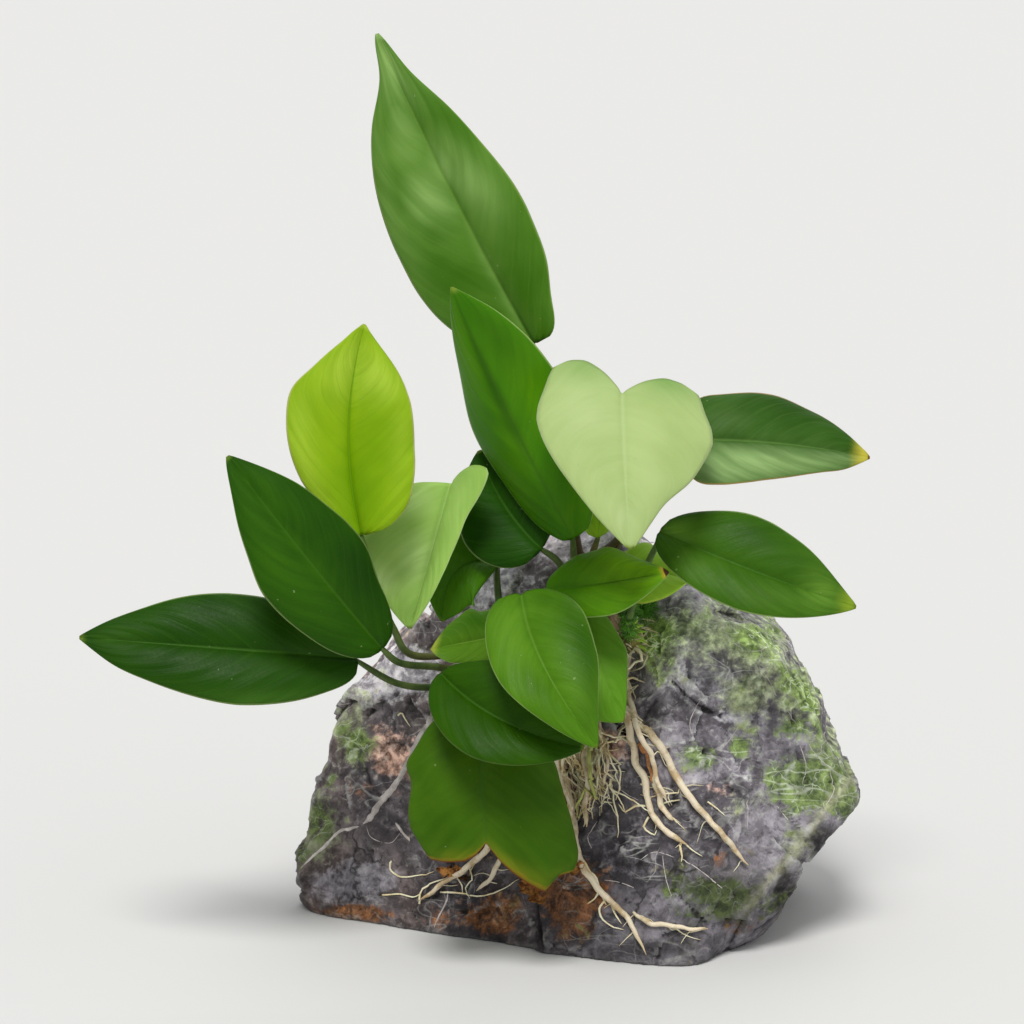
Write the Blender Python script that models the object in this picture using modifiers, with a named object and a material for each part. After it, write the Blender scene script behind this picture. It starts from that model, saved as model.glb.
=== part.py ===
"""An anubias grown onto a stone: the stone, the creeping rhizome, its leaves on their stalks, and roots.

Numbers in the tables are millimetres. X runs to the right, Y away from the viewer and Z up, with the
origin on the flat foot of the stone.
"""

import math
from typing import NamedTuple

import bmesh
import bpy
from mathutils import Vector, noise
from mathutils.bvhtree import BVHTree

MM = 0.001
GAP = 0.3

# Stone: flat facets around a centre, each with the direction it faces (azimuth 0 is +X, 90 is +Y).
STONE_CENTRE = Vector((4, 20, 38))
# The left block carries the plant and the right block stands forward of it.
LEFT_BLOCK = (
    # azimuth, elevation, distance from the centre
    (244, 13, 27),
    (228, -6, 52),
    (300, 10, 25),
    (252, 42, 38),
    (180, 70, 46),
    (178, 47, 43),
    (176, 36, 47),
    (172, 17, 54),
    (190, -24, 70.5),
    (20, 50, 42),
    (-20, 10, 38),
    (12, 12, 40),
    (48, 6, 34),
    (110, 20, 27),
    (140, 8, 41),
    (80, 55, 40),
    (0, -90, 44),
)
RIGHT_BLOCK = (
    (252, 14, 29),
    (281, 15, 40),
    (286, 40, 44),
    (215, 20, 14),
    (217, 38, 17),
    (320, -31, 62),
    (0, 27, 52.5),
    (30, 5, 53),
    (-14, -38, 57),
    (-6, 43, 50.5),
    (0, 60, 45),
    (100, 18, 28),
    (60, 5, 38),
    (150, 20, 20),
    (0, -90, 44),
)
FACET_SHARPNESS = 34
STONE_SUBDIVISIONS = 6
STONE_TRIANGLES = 2400
LUMP_SIZE = 26
LUMP_HEIGHT = 1.3
LUMP_OCTAVES = 2
# Broken faces: cells of this size, each tilted its own way, with small steps between them.
CHIP_SIZE = 17
CHIP_TILT = 0.22
# How far apart the noise is read for one chip and the next, and for the three parts of its slope.
CHIP_SPREAD = 7.3
CHIP_SHIFTS = (0, 31.7, 63.1)
# Ledges: the stone broke along leaning layers. Its surface comes out over a layer and steps back at the top.
LAYER_FACING = (215, 55)
LEDGE_SPACING = 17
LEDGE_HEIGHT = 1.7
# The share of a layer that the step back takes, how far the ledges wander, and how faint they can get.
LEDGE_STEP = 0.14
LEDGE_WANDER = 9
LEDGE_FAINTEST = 0.3
LEDGE_STRENGTH = 2.2
GROUND_SIZE = 200
SETTLING_STEPS = 4
PIECE_CHECKS = (0.2, 0.4, 0.6, 0.8)
# Bumps and dents that show from the front: place, radius and height.
STONE_BUMPS = (
    ((-28, 10, 70), 8, 2.5),
    ((-56, 8, 34), 9, -3.0),
    ((-57, 6, 9), 9, 2.0),
    ((15, -8, 60), 9, -3.5),
    ((6, -12, 34), 9, -4.0),
    ((-32, -6, 24), 10, -2.0),
    ((57, 2, 13), 10, -3.5),
    ((47, -12, 5), 9, 4.5),
)

# Rhizome: the creeping stem lies on the front of the stone; points are X and Z.
RHIZOME_RADIUS = 3.0
RHIZOME_ROUTE = ((-20, 57), (-13, 60.5), (-4, 63), (5, 64.5), (11, 65), (14.5, 66.5), (16, 70))
SHOOT_ROUTE = ((3.5, 71), (4.5, 75), (5, 79), (5, 82))
RHIZOME_PIECES = 24
SHOOT_PIECES = 10
SCAR_SPACING = 3.2
SCAR_DEPTH = 0.12
# The last share of a stem that narrows, and how narrow its tip is.
TIP_SHARE = 0.25
TIP_RADIUS = 0.35

STALK_RADIUS = 0.9
FLARE = 0.6
# Straight pieces between two points of a route.
STALK_PIECES = 3
ROOT_PIECES = 2
ROOT_TAPER = 0.45
BLADE_THICKNESS = 0.6
BLADE_ROWS = 8
BLADE_STRIPS = 4
LOBED_STRIPS = 6
STEM_WIDTH = 0.09
TIP_WIDTH = 0.03
LOBE_TURN = 0.72 * math.pi


class Leaf(NamedTuple):
    """One leaf: five points on its blade, and how its stalk reaches it.

    left and right are the widest points of the edge, seen from above with the tip ahead.
    stem is rhizome or shoot, along is how far along it the stalk starts, and via holds the stalk's bends.
    lobes are how far the left and right half reach back past the base. The extras say how much wider the
    left and right half is than the plain curve, at every eighth of the blade from base to tip.
    """

    name: str
    base: tuple
    mid: tuple
    tip: tuple
    left: tuple
    right: tuple
    stem: str
    along: float
    via: tuple = ()
    lobes: tuple = (0, 0)
    left_extra: tuple = ()
    right_extra: tuple = ()
    base_width: float = STEM_WIDTH
    fullness: float = 0.55
    shoulder: float = 1.6
    taper: float = 0.95
    camber: float = 0.10
    tip_width: float = TIP_WIDTH
    tear: tuple = ()
    colour: str = "mid_green"


LEAVES = (
    Leaf("top", (-6, -4, 131.5), (-20, 1, 157), (-39, 6, 196.5), (-34, 4, 151), (-7.5, -4, 160),
         "shoot", 0.95, ((2, -3, 98), (-1, -3, 114)), fullness=0.45, shoulder=1.5,
         left_extra=(0, 2, 2.2, 1.8, 1.8, 1.5, 0.7, -1.5, 0),
         right_extra=(0, -1.2, 0, 0.5, 1.2, 1, 0.5, -1, 0)),
    Leaf("tall", (2.5, -18, 92), (-10.5, -16, 117), (-23, -20, 146), (-17, -8, 113.5), (1, -14, 121),
         "shoot", 0.4, ((3, -10, 84),), fullness=0.5, colour="dark_green",
         left_extra=(0, 1.6, 2.4, 2.6, 2, 1.2, 0.5, 0, 0),
         right_extra=(0, 0, 0.8, 1.2, 1.4, 1.8, 2.2, 1.8, 0)),
    Leaf("shaded", (-4, -10, 88), (-11.5, -6, 96), (-17.5, -2, 108), (-20.5, -8, 88.5), (-2.5, -2, 102.5),
         "shoot", 0.2, ((0, -8, 84),), colour="dark_green"),
    Leaf("low_back", (-13, -2, 83), (-20.5, -5, 83.5), (-25.5, -10, 72), (-19, -10, 77), (-23, 1, 91),
         "rhizome", 0.22, ((-13, -5, 74),),
         left_extra=(0, 2.5, 2.5, 1.8, 0.5, 1, 1, 1.2, 0)),
    Leaf("yellow", (-42, -26, 94.5), (-44.5, -23, 113), (-41, -22, 138.5), (-57, -26, 115.5),
         (-31, -27, 112), "rhizome", 0.12, ((-31, -18, 66.5), (-35.5, -22, 73.5), (-38.5, -24, 82)),
         fullness=0.45, shoulder=3, taper=1.15, colour="lime",
         left_extra=(0, -2.5, -1.2, -0.2, 0.5, 0.5, -1.8, -2, 0),
         right_extra=(0, 0.7, 0.5, 0.5, 0.5, 0.7, 1.3, 1.7, 0)),
    Leaf("pale", (-23.5, -8, 102), (-26.5, -12, 91.5), (-32, -20, 73), (-18.5, -21, 94.5),
         (-41, -10, 90), "rhizome", 0.17, ((-13.5, 1, 76), (-15, 5, 88), (-22, 2, 97)),
         lobes=(3.2, 0.4), base_width=0.7, fullness=0.5, colour="pale_green",
         left_extra=(2.5, 0, -3, -4.2, -4.4, -3.2, -2, -1, 0),
         right_extra=(0, 0, 1.5, 1.8, 1, 0.7, 0.2, 0, 0)),
    Leaf("left_upper", (-37.5, -30, 71), (-52.5, -36, 91.5), (-69, -34, 113), (-61.5, -40, 85),
         (-43.5, -31, 98.5), "rhizome", 0.06, ((-26.5, -16, 63.5), (-34, -26, 67)),
         colour="dark_green",
         left_extra=(0, 0, 0, 0.2, 0, -0.7, -0.7, -0.7, 0),
         right_extra=(0, -1, -1.7, -0.8, -0.8, -0.7, -0.2, 0, 0)),
    Leaf("left_lower", (-43, -26, 68), (-68.5, -30, 71), (-101.5, -26, 72.5), (-67, -36, 60.5),
         (-70, -24, 81), "rhizome", 0.0, ((-26.5, -12, 58), (-35, -20, 61)),
         colour="dark_green",
         left_extra=(0, -0.7, -0.5, -0.2, 0.2, 0.5, 0.7, 1, 0),
         right_extra=(0, 0, 0.7, 0.9, 0.7, 0.5, 0.5, 0.5, 0)),
    Leaf("heart", (12.5, -24, 124.5), (12.5, -34, 117), (13.5, -48, 96.5), (31.5, -31, 115),
         (-5, -32, 120.5), "shoot", 0.8, ((13.5, -11, 93), (13, -14, 112)),
         lobes=(4.6, 6.2), base_width=0.8, fullness=0.5, shoulder=1.4, colour="pale_green",
         left_extra=(-0.5, -1, -0.5, -0.4, -0.3, -0.4, -1.7, -1, 0),
         right_extra=(-1, -0.8, 0.2, 0.5, 1, 1.2, 1, 0.7, 0)),
    Leaf("right_upper", (23.5, -14, 112.5), (44.5, -12, 111.5), (66, -8, 107.5), (45, -4, 120),
         (43.5, -20, 105.5), "shoot", 0.65, ((11.5, -4.3, 86), (19, -8, 101)),
         left_extra=(0, 2.2, 1.6, 1, 0.2, 0.2, 0.5, 0.2, 0),
         right_extra=(0, 4.5, 3.8, 2, 0.2, -0.2, 0, 0.7, 0)),
    Leaf("right_lower", (20.5, -22, 94.5), (39.5, -30, 88), (61.5, -30, 80), (44, -24, 97),
         (36, -36, 81), "rhizome", 0.82, ((14.5, -21, 76), (17, -23, 85)), colour="dark_green"),
    Leaf("centre_right", (-3.5, -20, 81.5), (8.5, -30, 85), (22, -36, 89), (9, -20, 90.5),
         (9, -38, 80), "rhizome", 0.52, ((0, -12, 74),)),
    Leaf("behind_right", (8.5, -11, 82), (18.5, -14, 84), (27.5, -16, 82.5), (19.5, -7, 88.5),
         (17.5, -20, 79.5), "rhizome", 0.72, ((10, -9, 75),),
         left_extra=(0, 0, -0.8, 0, 0.2, -1.2, -1.5, -1, 0),
         right_extra=(0, 0, 1.3, 1.4, 1.4, 1.4, 1.6, 1.3, 0)),
    Leaf("front", (-8.5, -30, 83), (-4.5, -45, 72.5), (7, -54, 56.5), (6, -42, 77), (-13.5, -49, 68.5),
         "rhizome", 0.45, ((-5, -16, 74),), base_width=0.3, fullness=0.48,
         left_extra=(0, 0.8, 0.8, 0.5, 0.3, 0.6, 0.4, 0.2, 0),
         right_extra=(0, -0.2, -0.2, -0.3, -0.8, -1.2, -1.2, -0.7, 0)),
    Leaf("lower_right", (4, -22, 78), (8, -30, 67), (13, -34, 56.5), (13.5, -26, 70), (2.5, -32, 60),
         "rhizome", 0.62, ((7, -14, 73),)),
    Leaf("small_left", (-10.5, -18, 71.5), (-19.5, -24, 71), (-27.5, -28, 70.5), (-20, -30, 67),
         (-18.5, -18, 76), "rhizome", 0.37, ((-8, -10, 69),),
         left_extra=(0, 0, 0, -0.5, -1.3, -1.3, -0.5, -0.2, 0),
         right_extra=(0, 1.5, 1.2, 0.3, 0.3, 1.5, 1.5, 2, 0)),
    Leaf("lower_centre", (-25.5, -30, 66), (-14.5, -40, 59.5), (4.5, -44, 53.5), (-6.5, -36, 68.5),
         (-19.5, -46, 52.5), "rhizome", 0.26, ((-13, -16, 63), (-19, -26, 65)), fullness=0.65,
         colour="dark_green"),
    Leaf("torn", (-18, -28, 57), (-16.5, -36, 40), (-15.5, -37, 25.7), (1, -34, 37),
         (-31.5, -33, 40.5), "rhizome", 0.32, ((-7, -14, 59),), fullness=0.5, shoulder=3,
         taper=0.4, base_width=0.3, tip_width=0.9,
         tear=(0, 0.6, 4.3, 2.8, 0.9, -1.5, -5.2, -2.4, -0.9, -0.4, 0, 0, -3.9), colour="dark_green",
         left_extra=(0, 0, 0.5, 0, 0, 1, 1.8, 2.2, 1.7),
         right_extra=(0, 0, 0.2, 1.2, 0.2, 0.5, 1, 1.2, 0.7)),
    Leaf("olive", (8, -10, 90.5), (9, -4, 102), (9, 0, 116), (3.5, 1, 101), (14, 1, 103),
         "shoot", 0.55, ((6, -8, 84),), colour="olive_green"),
)


class Root(NamedTuple):
    """One root: its radius, its route down the front of the stone as X and Z, and how far it stands off."""

    radius: float
    route: tuple
    lift: float = 0.0


ROOTS = (
    Root(0.9, ((9.5, 60.5), (10.5, 54), (12, 47), (16.5, 42), (18.5, 37), (19.5, 32), (23.5, 28), (27, 26))),
    Root(0.8, ((19.2, 40.5), (20.9, 37), (21.6, 33.5), (24, 31))),
    Root(0.95, ((15.5, 62), (15, 56), (17, 50), (21.5, 46.5), (24, 41), (28, 35.5), (34.5, 28),
                (40.5, 20.5))),
    Root(0.7, ((13, 61), (13.3, 56), (15.5, 50), (19.5, 44.5), (20.8, 39.5), (22.8, 35.5)), lift=2.2),
    Root(0.9, ((1, 60), (0, 50), (0, 42), (2, 32), (3.5, 24), (5, 19.5), (8, 15.5), (11.5, 12),
               (15, 9), (18.3, 2.5))),
    Root(0.6, ((15.6, 11), (19, 9), (24, 8.5), (31.5, 8))),
    Root(0.6, ((-3, 59), (-3.8, 52), (-4, 41), (-1.6, 34.5), (0.2, 29.5), (1, 25.5))),
    Root(0.6, ((-1, 58.3), (-1.8, 50), (-1, 42.5), (0.5, 36), (2.5, 31)), lift=2.2),
    Root(0.8, ((3, 60), (3.2, 52), (4, 43), (5, 38))),
    Root(0.8, ((5, 60), (5.5, 52), (6.8, 42), (6.8, 36), (6, 31.5), (6, 27.5)), lift=1.8),
    Root(0.5, ((8.1, 53), (8.6, 50), (9.6, 45.5), (10.6, 41), (9.8, 36)), lift=0.6),
    Root(0.8, ((-8, 57.5), (-9.5, 48), (-11.5, 35), (-15, 22), (-20, 15.5), (-25, 11.5), (-31, 6.5))),
    Root(0.7, ((-5.5, 58), (-7, 46), (-9.5, 31), (-13, 19), (-15.5, 13.5), (-18, 11))),
)

# A tuft of moss sits on the stone above the growing end of the rhizome.
MOSS_PLACE = (20, 75)
MOSS_RADIUS = 2.7
MOSS_STRETCH = (1.3, 1.0, 1.0)
MOSS_ROUGHNESS = 0.15

COLOURS = {
    "mid_green": (0.10, 0.27, 0.05, 1),
    "dark_green": (0.06, 0.19, 0.03, 1),
    "pale_green": (0.36, 0.52, 0.20, 1),
    "lime": (0.34, 0.52, 0.03, 1),
    "olive_green": (0.22, 0.30, 0.09, 1),
    "stalk": (0.07, 0.11, 0.03, 1),
    "stone": (0.15, 0.15, 0.18, 1),
    "rhizome": (0.42, 0.33, 0.12, 1),
    "root": (0.72, 0.62, 0.42, 1),
    "moss": (0.05, 0.16, 0.02, 1),
}
ROUGHNESS = {"stone": 0.75, "rhizome": 0.6, "root": 0.6, "moss": 0.9}
LEAF_ROUGHNESS = 0.4


def material(name):
    made = bpy.data.materials.get(name)
    if made is None:
        made = bpy.data.materials.new(name)
        made.use_nodes = True
        shader = made.node_tree.nodes["Principled BSDF"]
        shader.inputs["Base Color"].default_value = COLOURS[name]
        shader.inputs["Roughness"].default_value = ROUGHNESS.get(name, LEAF_ROUGHNESS)
        shader.inputs["Metallic"].default_value = 0
    return made


def add_object(name, data, collection, colour):
    made = bpy.data.objects.new(name, data)
    data.materials.append(material(colour))
    collection.objects.link(made)
    return made


# ---------------------------------------------------------------- stone


def facet_normal(azimuth, elevation):
    turn, lift = math.radians(azimuth), math.radians(elevation)
    return Vector((math.cos(turn) * math.cos(lift), math.sin(turn) * math.cos(lift), math.sin(lift)))


def block_reach(block, direction):
    """How far a block of stone reaches in this direction; its edges are a little worn."""
    total = 0
    for azimuth, elevation, distance in block:
        facing = facet_normal(azimuth, elevation).dot(direction) / distance
        if facing > 0:
            total += facing**FACET_SHARPNESS
    return total ** (-1 / FACET_SHARPNESS)


def chip_height(point):
    """The height of the chip that this point lies on, which is a plane of its own slope."""
    cell = noise.voronoi(point / CHIP_SIZE)[1][0]
    slope = Vector([noise.noise(cell * CHIP_SPREAD + Vector((0, 0, shift))) for shift in CHIP_SHIFTS])
    return slope.dot(point - cell * CHIP_SIZE) * CHIP_TILT


def ledge_height(point):
    """How far the ledge at this point stands out of the surface, or lies back in it."""
    wander = LEDGE_WANDER * noise.noise(point / LUMP_SIZE)
    place = (point.dot(facet_normal(*LAYER_FACING)) + wander) / LEDGE_SPACING % 1
    rise = min(place / (1 - LEDGE_STEP), (1 - place) / LEDGE_STEP)
    strength = 0.5 + LEDGE_STRENGTH * noise.noise(point / LUMP_SIZE + Vector(CHIP_SHIFTS))
    return LEDGE_HEIGHT * (rise - 0.5) * min(max(strength, LEDGE_FAINTEST), 1)


def stone_surface(direction):
    """The point of the stone's surface in this direction from its centre."""
    reach = max(block_reach(LEFT_BLOCK, direction), block_reach(RIGHT_BLOCK, direction))
    point = STONE_CENTRE + direction * reach
    height = LUMP_HEIGHT * noise.fractal(point / LUMP_SIZE, 1.0, 2.0, LUMP_OCTAVES)
    height += chip_height(point) + ledge_height(point)
    for place, radius, rise in STONE_BUMPS:
        height += rise * math.exp(-(((point - Vector(place)).length / radius) ** 2))
    return point + direction * height


def make_stone(collection, cutters):
    mesh = bpy.data.meshes.new("stone")
    work = bmesh.new()
    bmesh.ops.create_icosphere(work, subdivisions=STONE_SUBDIVISIONS, radius=1)
    for vertex in work.verts:
        vertex.co = stone_surface(vertex.co.normalized()) * MM
    faces = len(work.faces)
    work.to_mesh(mesh)
    work.free()
    stone = add_object("stone", mesh, collection, "stone")
    coarser = stone.modifiers.new("coarser", "DECIMATE")
    coarser.ratio = STONE_TRIANGLES / faces
    bpy.ops.mesh.primitive_cube_add(size=GROUND_SIZE * MM, location=(0, 0, -GROUND_SIZE / 2 * MM))
    ground = bpy.context.object
    ground.name = "ground_cutter"
    ground.hide_render = True
    ground.display_type = "WIRE"
    for owner in list(ground.users_collection):
        owner.objects.unlink(ground)
    cutters.objects.link(ground)
    foot = stone.modifiers.new("flat_foot", "BOOLEAN")
    foot.operation = "DIFFERENCE"
    foot.object = ground
    return stone


def evaluated_tree(obj):
    bpy.context.view_layer.update()
    return BVHTree.FromObject(obj, bpy.context.evaluated_depsgraph_get())


def on_stone(tree, x, z, clearance):
    """The point this far clear of the stone's front, seen from straight ahead at X and Z."""
    hit, _, _, _ = tree.ray_cast(Vector((x, -GROUND_SIZE, z)) * MM, Vector((0, 1, 0)))
    point = hit - Vector((0, clearance, 0)) * MM
    for _ in range(SETTLING_STEPS):
        nearest, _, _, distance = tree.find_nearest(point)
        if distance < clearance * MM:
            point = nearest + (point - nearest).normalized() * clearance * MM
    return point / MM


def settled_route(tree, flat, count, clearance):
    """The flat X and Z route laid on the stone in count straight pieces, each this far clear of it."""
    route = [on_stone(tree, place.x, place.z, clearance) for place in smooth_route(flat, count)]
    for _ in range(SETTLING_STEPS):
        for start, end in zip(route, route[1:]):
            for share in PIECE_CHECKS:
                place = start.lerp(end, share)
                nearest, normal, _, _ = tree.find_nearest(place * MM)
                short = clearance - (place - nearest / MM).dot(normal)
                if short > 0:
                    start += normal * short * (1 - share)
                    end += normal * short * share
    return route


# ---------------------------------------------------------------- curves


def smooth_route(points, count):
    """count + 1 points along a Catmull-Rom curve through the given points."""
    points = [Vector(point) for point in points]
    ends = [2 * points[0] - points[1]] + points + [2 * points[-1] - points[-2]]
    route = []
    for step in range(count + 1):
        place = step / count * (len(points) - 1)
        span = min(int(place), len(points) - 2)
        t = place - span
        a, b, c, d = ends[span : span + 4]
        route.append(0.5 * (2 * b + (c - a) * t + (2 * a - 5 * b + 4 * c - d) * t**2
                            + (3 * b - a - 3 * c + d) * t**3))
    return route


def make_tube(name, route, radius, collection, colour, scale=None, sides=1):
    """A round tube along the route; scale gives the radius at each point as a share of the full one."""
    curve = bpy.data.curves.new(name, "CURVE")
    curve.dimensions = "3D"
    curve.bevel_depth = radius * MM
    curve.bevel_resolution = sides
    curve.use_fill_caps = True
    spline = curve.splines.new("POLY")
    spline.points.add(len(route) - 1)
    for index, (point, place) in enumerate(zip(spline.points, route)):
        point.co = (*(place * MM), 1)
        point.radius = scale[index] if scale else 1
    return add_object(name, curve, collection, colour)


# ---------------------------------------------------------------- rhizome and stalks


def make_rhizome(name, route, count, collection, tree):
    flat = [(x, 0, z) for x, z in route]
    points = settled_route(tree, flat, count, RHIZOME_RADIUS + GAP)
    scale = []
    travelled = 0
    for index, point in enumerate(points):
        travelled += (point - points[index - 1]).length if index else 0
        ring = math.cos(travelled / SCAR_SPACING * math.tau)
        to_end = (count - index) / count
        scale.append((1 - SCAR_DEPTH * (0.5 + 0.5 * ring)) * min(1, TIP_RADIUS + to_end / TIP_SHARE))
    make_tube(name, points, RHIZOME_RADIUS, collection, "rhizome", scale)
    return points


def point_along(points, share):
    place = share * (len(points) - 1)
    index = min(int(place), len(points) - 2)
    return points[index].lerp(points[index + 1], place - index), points[index + 1] - points[index]


def make_stalk(leaf, stem, collection):
    centre, run = point_along(stem, leaf.along)
    first = Vector(leaf.via[0])
    outward = first - centre
    outward -= run * (outward.dot(run) / run.dot(run))
    start = centre + outward.normalized() * (RHIZOME_RADIUS + GAP + FLARE)
    arriving = (Vector(leaf.base) - Vector(leaf.via[-1])).normalized()
    askew = arriving.cross(rib(leaf, 0)[1]).length
    end = Vector(leaf.base) - arriving * (GAP + STALK_RADIUS * askew)
    route = smooth_route([start, *leaf.via, end], STALK_PIECES * (len(leaf.via) + 1))
    make_tube(f"stalk_{leaf.name}", route, STALK_RADIUS, collection, "stalk")


# ---------------------------------------------------------------- blades


def widest_at(leaf):
    lower = (Vector(leaf.mid) - Vector(leaf.base)).length
    upper = (Vector(leaf.tip) - Vector(leaf.mid)).length
    return lower / (lower + upper)


def rib(leaf, along):
    """The point of the midrib and its direction, on the parabola through base, mid and tip."""
    base, mid, tip = Vector(leaf.base), Vector(leaf.mid), Vector(leaf.tip)
    m = widest_at(leaf)
    bend = (mid - base - m * (tip - base)) / (m * (m - 1))
    slope = tip - base - bend
    return base + slope * along + bend * along**2, (slope + 2 * bend * along).normalized()


def half_width(leaf, along):
    """The width of the blade as a share of its widest."""
    m = widest_at(leaf)
    if along < m:
        share = (1 - (1 - along / m) ** 2) ** leaf.fullness
        return leaf.base_width + (1 - leaf.base_width) * share
    share = 1 - ((along - m) / (1 - m)) ** leaf.shoulder
    return leaf.tip_width + (1 - leaf.tip_width) * max(share, 0) ** leaf.taper


def extra_width(extras, along):
    """The extra width at this share of the blade's length, on a smooth curve through the given ones."""
    if not extras:
        return 0
    place = along * (len(extras) - 1)
    index = min(int(place), len(extras) - 2)
    t = place - index
    a, b, c, d = (extras[0], *extras, extras[-1])[index : index + 4]
    return 0.5 * (2 * b + (c - a) * t + (2 * a - 5 * b + 4 * c - d) * t**2 + (3 * b - a - 3 * c + d) * t**3)


def blade_point(leaf, along, across):
    """A point of the blade: along from 0 at the base to 1 at the tip, across from -1 on the left to 1."""
    centre, heading = rib(leaf, along)
    mid, mid_heading = rib(leaf, widest_at(leaf))
    turn = mid_heading.rotation_difference(heading)
    edge = Vector(leaf.left if across < 0 else leaf.right) - mid
    side = turn @ edge
    reach = abs(across)
    upward = (turn @ (Vector(leaf.right) - Vector(leaf.left))).cross(heading).normalized()
    width = side.length * half_width(leaf, along)
    width += extra_width(leaf.left_extra if across < 0 else leaf.right_extra, along)
    point = centre + side.normalized() * width * reach
    point += upward * leaf.camber * width * 4 * reach * (1 - reach)
    m = widest_at(leaf)
    if along < m:
        point -= heading * leaf.lobes[across > 0] * (1 - along / m) ** 2 * math.sin(reach * LOBE_TURN)
    if leaf.tear:
        place = (across + 1) / 2 * (len(leaf.tear) - 1)
        index = min(int(place), len(leaf.tear) - 2)
        drop = leaf.tear[index] + (leaf.tear[index + 1] - leaf.tear[index]) * (place - index)
        point += heading * drop * along**3
    return point


def make_blade(leaf, collection):
    strips = LOBED_STRIPS if any(leaf.lobes) else max(BLADE_STRIPS, len(leaf.tear) - 1)
    mesh = bpy.data.meshes.new(f"leaf_{leaf.name}")
    points = [
        blade_point(leaf, row / BLADE_ROWS, 2 * column / strips - 1) * MM
        for row in range(BLADE_ROWS + 1) for column in range(strips + 1)
    ]
    faces = [
        (corner, corner + 1, corner + strips + 2, corner + strips + 1)
        for row in range(BLADE_ROWS) for corner in range(row * (strips + 1), row * (strips + 1) + strips)
    ]
    mesh.from_pydata(points, [], faces)
    blade = add_object(f"leaf_{leaf.name}", mesh, collection, leaf.colour)
    skin = blade.modifiers.new("thickness", "SOLIDIFY")
    skin.thickness = BLADE_THICKNESS * MM
    skin.offset = 0
    return blade


# ---------------------------------------------------------------- roots and moss


def make_root(number, root, collection, tree):
    flat = [(x, 0, z) for x, z in root.route]
    route = settled_route(tree, flat, ROOT_PIECES * (len(flat) - 1), root.radius + GAP + root.lift)
    last = len(route) - 1
    taper = [1 - ROOT_TAPER * (index / last) ** 2 for index in range(last + 1)]
    make_tube(f"root_{number}", route, root.radius, collection, "root", taper)


def make_moss(collection, tree):
    mesh = bpy.data.meshes.new("moss_tuft")
    work = bmesh.new()
    bmesh.ops.create_icosphere(work, subdivisions=2, radius=MOSS_RADIUS * MM)
    for vertex in work.verts:
        vertex.co *= 1 + MOSS_ROUGHNESS * noise.noise(vertex.co / MM)
    bmesh.ops.scale(work, vec=MOSS_STRETCH, verts=work.verts)
    work.to_mesh(mesh)
    work.free()
    tuft = add_object("moss_tuft", mesh, collection, "moss")
    tuft.location = on_stone(tree, *MOSS_PLACE, MOSS_RADIUS * (1 + MOSS_ROUGHNESS) + GAP) * MM


def main():
    for obj in list(bpy.data.objects):
        bpy.data.objects.remove(obj, do_unlink=True)
    collection = bpy.data.collections.new("anubias_on_stone")
    bpy.context.scene.collection.children.link(collection)
    cutters = bpy.data.collections.new("cutters")
    bpy.context.scene.collection.children.link(cutters)
    tree = evaluated_tree(make_stone(collection, cutters))
    stems = {
        "rhizome": make_rhizome("rhizome", RHIZOME_ROUTE, RHIZOME_PIECES, collection, tree),
        "shoot": make_rhizome("rhizome_shoot", SHOOT_ROUTE, SHOOT_PIECES, collection, tree),
    }
    for leaf in LEAVES:
        make_blade(leaf, collection)
        make_stalk(leaf, stems[leaf.stem], collection)
    for number, root in enumerate(ROOTS, start=1):
        make_root(number, root, collection, tree)
    make_moss(collection, tree)


main()
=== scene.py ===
"""Looks of the anubias on stone: fine leaves, stalks, roots, rhizome, moss and stone around the CAD frame.

Numbers in the tables are millimetres, in the frame of the CAD model: X to the right, Y away from the
viewer, Z up, origin on the flat foot of the stone.
"""

import math
from typing import NamedTuple

import bmesh
import bpy
import numpy as np
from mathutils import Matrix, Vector, noise
from mathutils.bvhtree import BVHTree


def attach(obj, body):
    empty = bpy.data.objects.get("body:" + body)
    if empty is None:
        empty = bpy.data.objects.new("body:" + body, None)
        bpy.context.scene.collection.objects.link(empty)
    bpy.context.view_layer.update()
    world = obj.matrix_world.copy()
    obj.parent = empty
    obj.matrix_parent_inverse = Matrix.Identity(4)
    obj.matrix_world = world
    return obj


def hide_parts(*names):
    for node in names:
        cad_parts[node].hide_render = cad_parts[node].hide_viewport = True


MM = 0.001
GAP = 0.3
BODY = "root"
UV_NAME = "blade"

# ---------------------------------------------------------------- camera and stage numbers

PHOTO_SIZE = 1024
TARGET = Vector((-10.4, 0, 94))
CAMERA_ELEVATION = math.radians(12)
VIEW_SINE, VIEW_COSINE = math.sin(CAMERA_ELEVATION), math.cos(CAMERA_ELEVATION)
CAMERA_DISTANCE = 750
SENSOR = 36
PIXEL = 0.2166  # mm at the target
FOCAL = CAMERA_DISTANCE / PIXEL
LENS = SENSOR * CAMERA_DISTANCE / (PIXEL * PHOTO_SIZE)
FLOOR_SIZE = 60
FLOOR_Z = -0.0002
FLOOR_COLOUR = (0.66, 0.66, 0.65)
WORLD_COLOUR = (0.97, 0.98, 1.0)
WORLD_STRENGTH = 0.46
# Suns: name, azimuth and elevation of where they stand, softness in degrees, strength and tint.
LIGHTS = (
    ("key", -10, 58, 20, 2.35, (1.0, 0.985, 0.96)),
    ("fill", 55, 30, 70, 0.35),
    ("rim", 160, 48, 40, 0.5),
)

# ---------------------------------------------------------------- the part's tables, as in its source

# Stone: flat facets around a centre, each with the direction it faces (azimuth 0 is +X, 90 is +Y).
STONE_CENTRE = Vector((4, 20, 38))
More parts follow.
